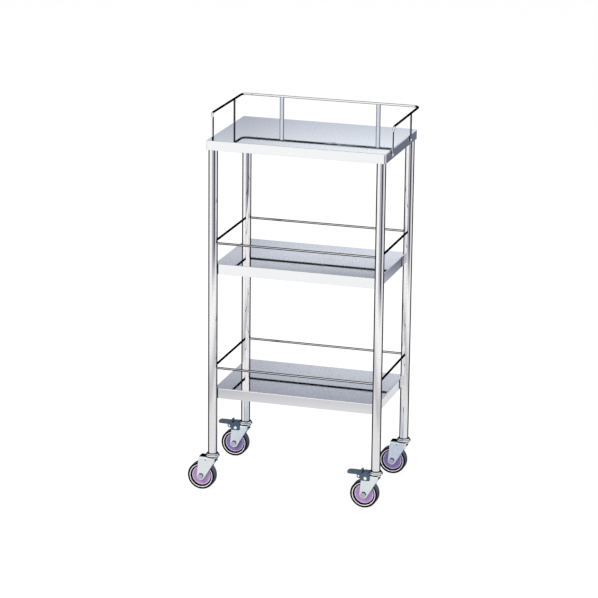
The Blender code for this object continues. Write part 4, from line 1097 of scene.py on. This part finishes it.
def rubber_colour(tree):
    """Black sides and a dusty tread."""
    return measured_ramp(tree, distance_from(tree, ROUND_Y), [
        (wheel_radius - TYRE_SHOULDER, SIDE_RUBBER), (wheel_radius - TYRE_SHOULDER / 3, SIDE_RUBBER),
        (wheel_radius - TYRE_SHOULDER / 12, DUSTY_RUBBER), (wheel_radius, DUSTY_RUBBER),
    ])


def both_sides(half_profile):
    """A profile and its mirror image below the middle."""
    return half_profile + [(radius, -along) for radius, along in half_profile[::-1]]


rubber = mottled_moulding("tread_rubber", scale=160.0, gloss=(0.6, 0.8), specular=0.08, bump=0.25,
                          colour_of=rubber_colour, mottle=0.20, slant=(0.55, 0.85, 0.15))
tyre_inner = wheel_radius - TYRE_THICKNESS
half_width = (wheel_high.y - wheel_low.y) / 2
shoulder = arc(wheel_radius - TYRE_SHOULDER, half_width - TYRE_SHOULDER, TYRE_SHOULDER, QUARTER, 0,
               TYRE_SHOULDER_STEPS)
tyre_profile = both_sides([(tyre_inner, half_width)] + shoulder + [
    (wheel_radius, 4 * MOULD_LINE), (wheel_radius - MOULD_LINE, MOULD_LINE),
])
for corner in CORNERS:
    mesh = turned(tyre_profile, WHEEL_FACETS, closed=True)
    mesh.transform(lying)
    fit("tread_" + corner, mesh, rubber, "wheel_" + corner, "tread_rubber", "tyre_" + corner,
        at=axle_at(corner))

# Wheel centres: violet plastic, moulded in one with a rounded lip at the rim, a deep groove inside
# the lip, a flat disc and a long boss. The lip and the disc's edge carry painted highlights, the groove
# and the lip's outer edge painted shade, and the rear pair is painted a deeper violet as painted shade.
RIM_FACE_INSET = 0.0005
RIM_LIP = 0.0033
RIM_ROUND = 0.0012
RIM_ROUND_STEPS = 4
GROOVE_WIDTH = 0.0038
GROOVE_DEPTH = 0.0075
DISC_INSET = 0.0040
BOSS_RADIUS = 0.0095
BOSS_TAPER = 0.0015
PAINTED_SHADE_DARK = (0.004, 0.003, 0.008)
PAINTED_LIP_HIGHLIGHT = (1.0, 0.97, 1.0)
PAINTED_EDGE_HIGHLIGHT = (0.86, 0.74, 0.94)
LIT_AND_SHADED_VIOLETS = {"front": (0.48, 0.29, 0.58), "rear": (0.27, 0.19, 0.48)}
RING_BLUR = 0.0003
RIM_SHADE_BAND = 0.0010
rim = tyre_inner - RUNNING_GAP / 3
rim_face = half_width - RIM_FACE_INSET
lip_inner = rim - RIM_LIP
groove_inner = lip_inner - GROOVE_WIDTH
disc_face = rim_face - DISC_INSET
groove_face = rim_face - GROOVE_DEPTH
boss_face = fork_inner - RUNNING_GAP
boss_foot = BOSS_RADIUS + BOSS_TAPER
round_centre = rim_face - RIM_ROUND
lip = arc(lip_inner + RIM_ROUND, round_centre, RIM_ROUND, 2 * QUARTER, QUARTER, RIM_ROUND_STEPS)
lip += arc(rim - RIM_ROUND, round_centre, RIM_ROUND, QUARTER, 0, RIM_ROUND_STEPS)
hub_profile = both_sides([
    (AXLE_RADIUS + RUNNING_GAP, boss_face), (BOSS_RADIUS - RUNNING_GAP, boss_face),
    (BOSS_RADIUS, boss_face - RUNNING_GAP), (boss_foot, disc_face + RUNNING_GAP),
    (boss_foot + RUNNING_GAP, disc_face), (groove_inner - RUNNING_GAP, disc_face),
    (groove_inner, disc_face - RUNNING_GAP), (groove_inner, groove_face), (lip_inner, groove_face),
] + lip)


def violet_moulding(row):
    """The wheel centres' plastic for the front or the rear pair; the rear copy is painted darker as shade."""
    violet = LIT_AND_SHADED_VIOLETS[row]

    def rings(tree):
        return measured_ramp(tree, distance_from(tree, ROUND_Y), [
            (0, violet), (groove_inner - 6 * RING_BLUR, violet), (groove_inner - 5 * RING_BLUR, PAINTED_EDGE_HIGHLIGHT),
            (groove_inner - RING_BLUR, PAINTED_EDGE_HIGHLIGHT), (groove_inner, PAINTED_SHADE_DARK),
            (lip_inner + RING_BLUR, PAINTED_SHADE_DARK), (lip_inner + 2 * RING_BLUR, PAINTED_LIP_HIGHLIGHT),
            (rim - RIM_SHADE_BAND - RING_BLUR, PAINTED_LIP_HIGHLIGHT), (rim - RIM_SHADE_BAND, PAINTED_SHADE_DARK),
            (rim, PAINTED_SHADE_DARK),
        ])

    return mottled_moulding("violet_moulding_" + row, scale=60.0, gloss=(0.25, 0.42), specular=0.30, bump=0.1,
                            colour_of=rings, mottle=0.14, slant=(0.55, 0.85, 0.35))


violets = {row: violet_moulding(row) for row in LIT_AND_SHADED_VIOLETS}
for corner in CORNERS:
    mesh = turned(hub_profile, WHEEL_FACETS, closed=True)
    mesh.transform(lying)
    fit("wheel_centre_" + corner, mesh, violets[corner.split("_")[0]], "wheel_" + corner, "violet_moulding",
        "hub_" + corner, at=axle_at(corner))

# Brakes, on one diagonal pair of casters: a black moulded cover saddles the fork's crown, and a
# pin through both carries the pedal, whose shoe hangs over the tyre.
MOULD_EDGE = 0.0005
PIN_HEAD_HEIGHT = 0.0012
PIN_FACETS = 32
BLUE_BLACK = (0.058, 0.100, 0.155)


def plain(colour):
    """A moulding's one colour."""
    def picked(tree):
        paint = add_node(tree, "ShaderNodeRGB").outputs["Color"]
        paint.default_value = (*colour, 1)
        return paint
    return picked


black = mottled_moulding("black_moulding", scale=260.0, gloss=(0.30, 0.48), specular=0.35, bump=0.25,
                         colour_of=plain(BLUE_BLACK), mottle=0.22, slant=(0.50, 0.86, 0.04))
for corner in BRAKED:
    for node in ("brake_cover_", "brake_pedal_"):
        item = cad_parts[node + corner]
        item.data.materials.clear()
        item.data.materials.append(black)
        soften(item, MOULD_EDGE)
    low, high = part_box("brake_pin_" + corner)
    half_length = (high.y - low.y) / 2
    half_pin = dome((high.z - low.z) / 2, PIN_HEAD_HEIGHT, half_length)
    half_pin += [(BRAKE_PIN_RADIUS, half_length - PIN_HEAD_HEIGHT)]
    mesh = turned(both_sides(half_pin), PIN_FACETS, closed=False)
    mesh.transform(Matrix.Translation((low + high) / 2) @ lying)
    fit("pin_" + corner, mesh, rivet_steel, "caster_" + corner, "bright_zinc", "brake_pin_" + corner)

# Dust seals: a black moulded rubber ring on each fork, pressed on round the ball race. It lies on
# the crown and fills most of the gap under the head, and its black also stands in for the shade there.
SEAL_WIDTH = 0.0050
SEAL_RISE = 0.0014
SEAL_AND_GAP_SHADE_BLACK = (0.006, 0.006, 0.008)
seal_rubber = mottled_moulding("seal_rubber", scale=200.0, gloss=(0.55, 0.75), specular=0.1, bump=0.2,
                               colour_of=plain(SEAL_AND_GAP_SHADE_BLACK), mottle=0.3, slant=(0.55, 0.85, 0.15))
inner = RACE_INNER_RADIUS + RACE_WIDTH + RUNNING_GAP
outer = inner + SEAL_WIDTH
seal_low = crown_top + SEAT_GAP
seal_high = seal_low + SEAL_RISE
seal_profile = [(inner, seal_low), (outer, seal_low), (outer, seal_high - RUNNING_GAP),
                (outer - RUNNING_GAP, seal_high), (inner, seal_high)]
for corner in CORNERS:
    mesh = turned(seal_profile, HEAD_FACETS, closed=True)
    mesh.transform(Matrix.Translation(leg_axis(corner)))
    fit("seal_" + corner, mesh, seal_rubber, "caster_" + corner, "black_moulding")
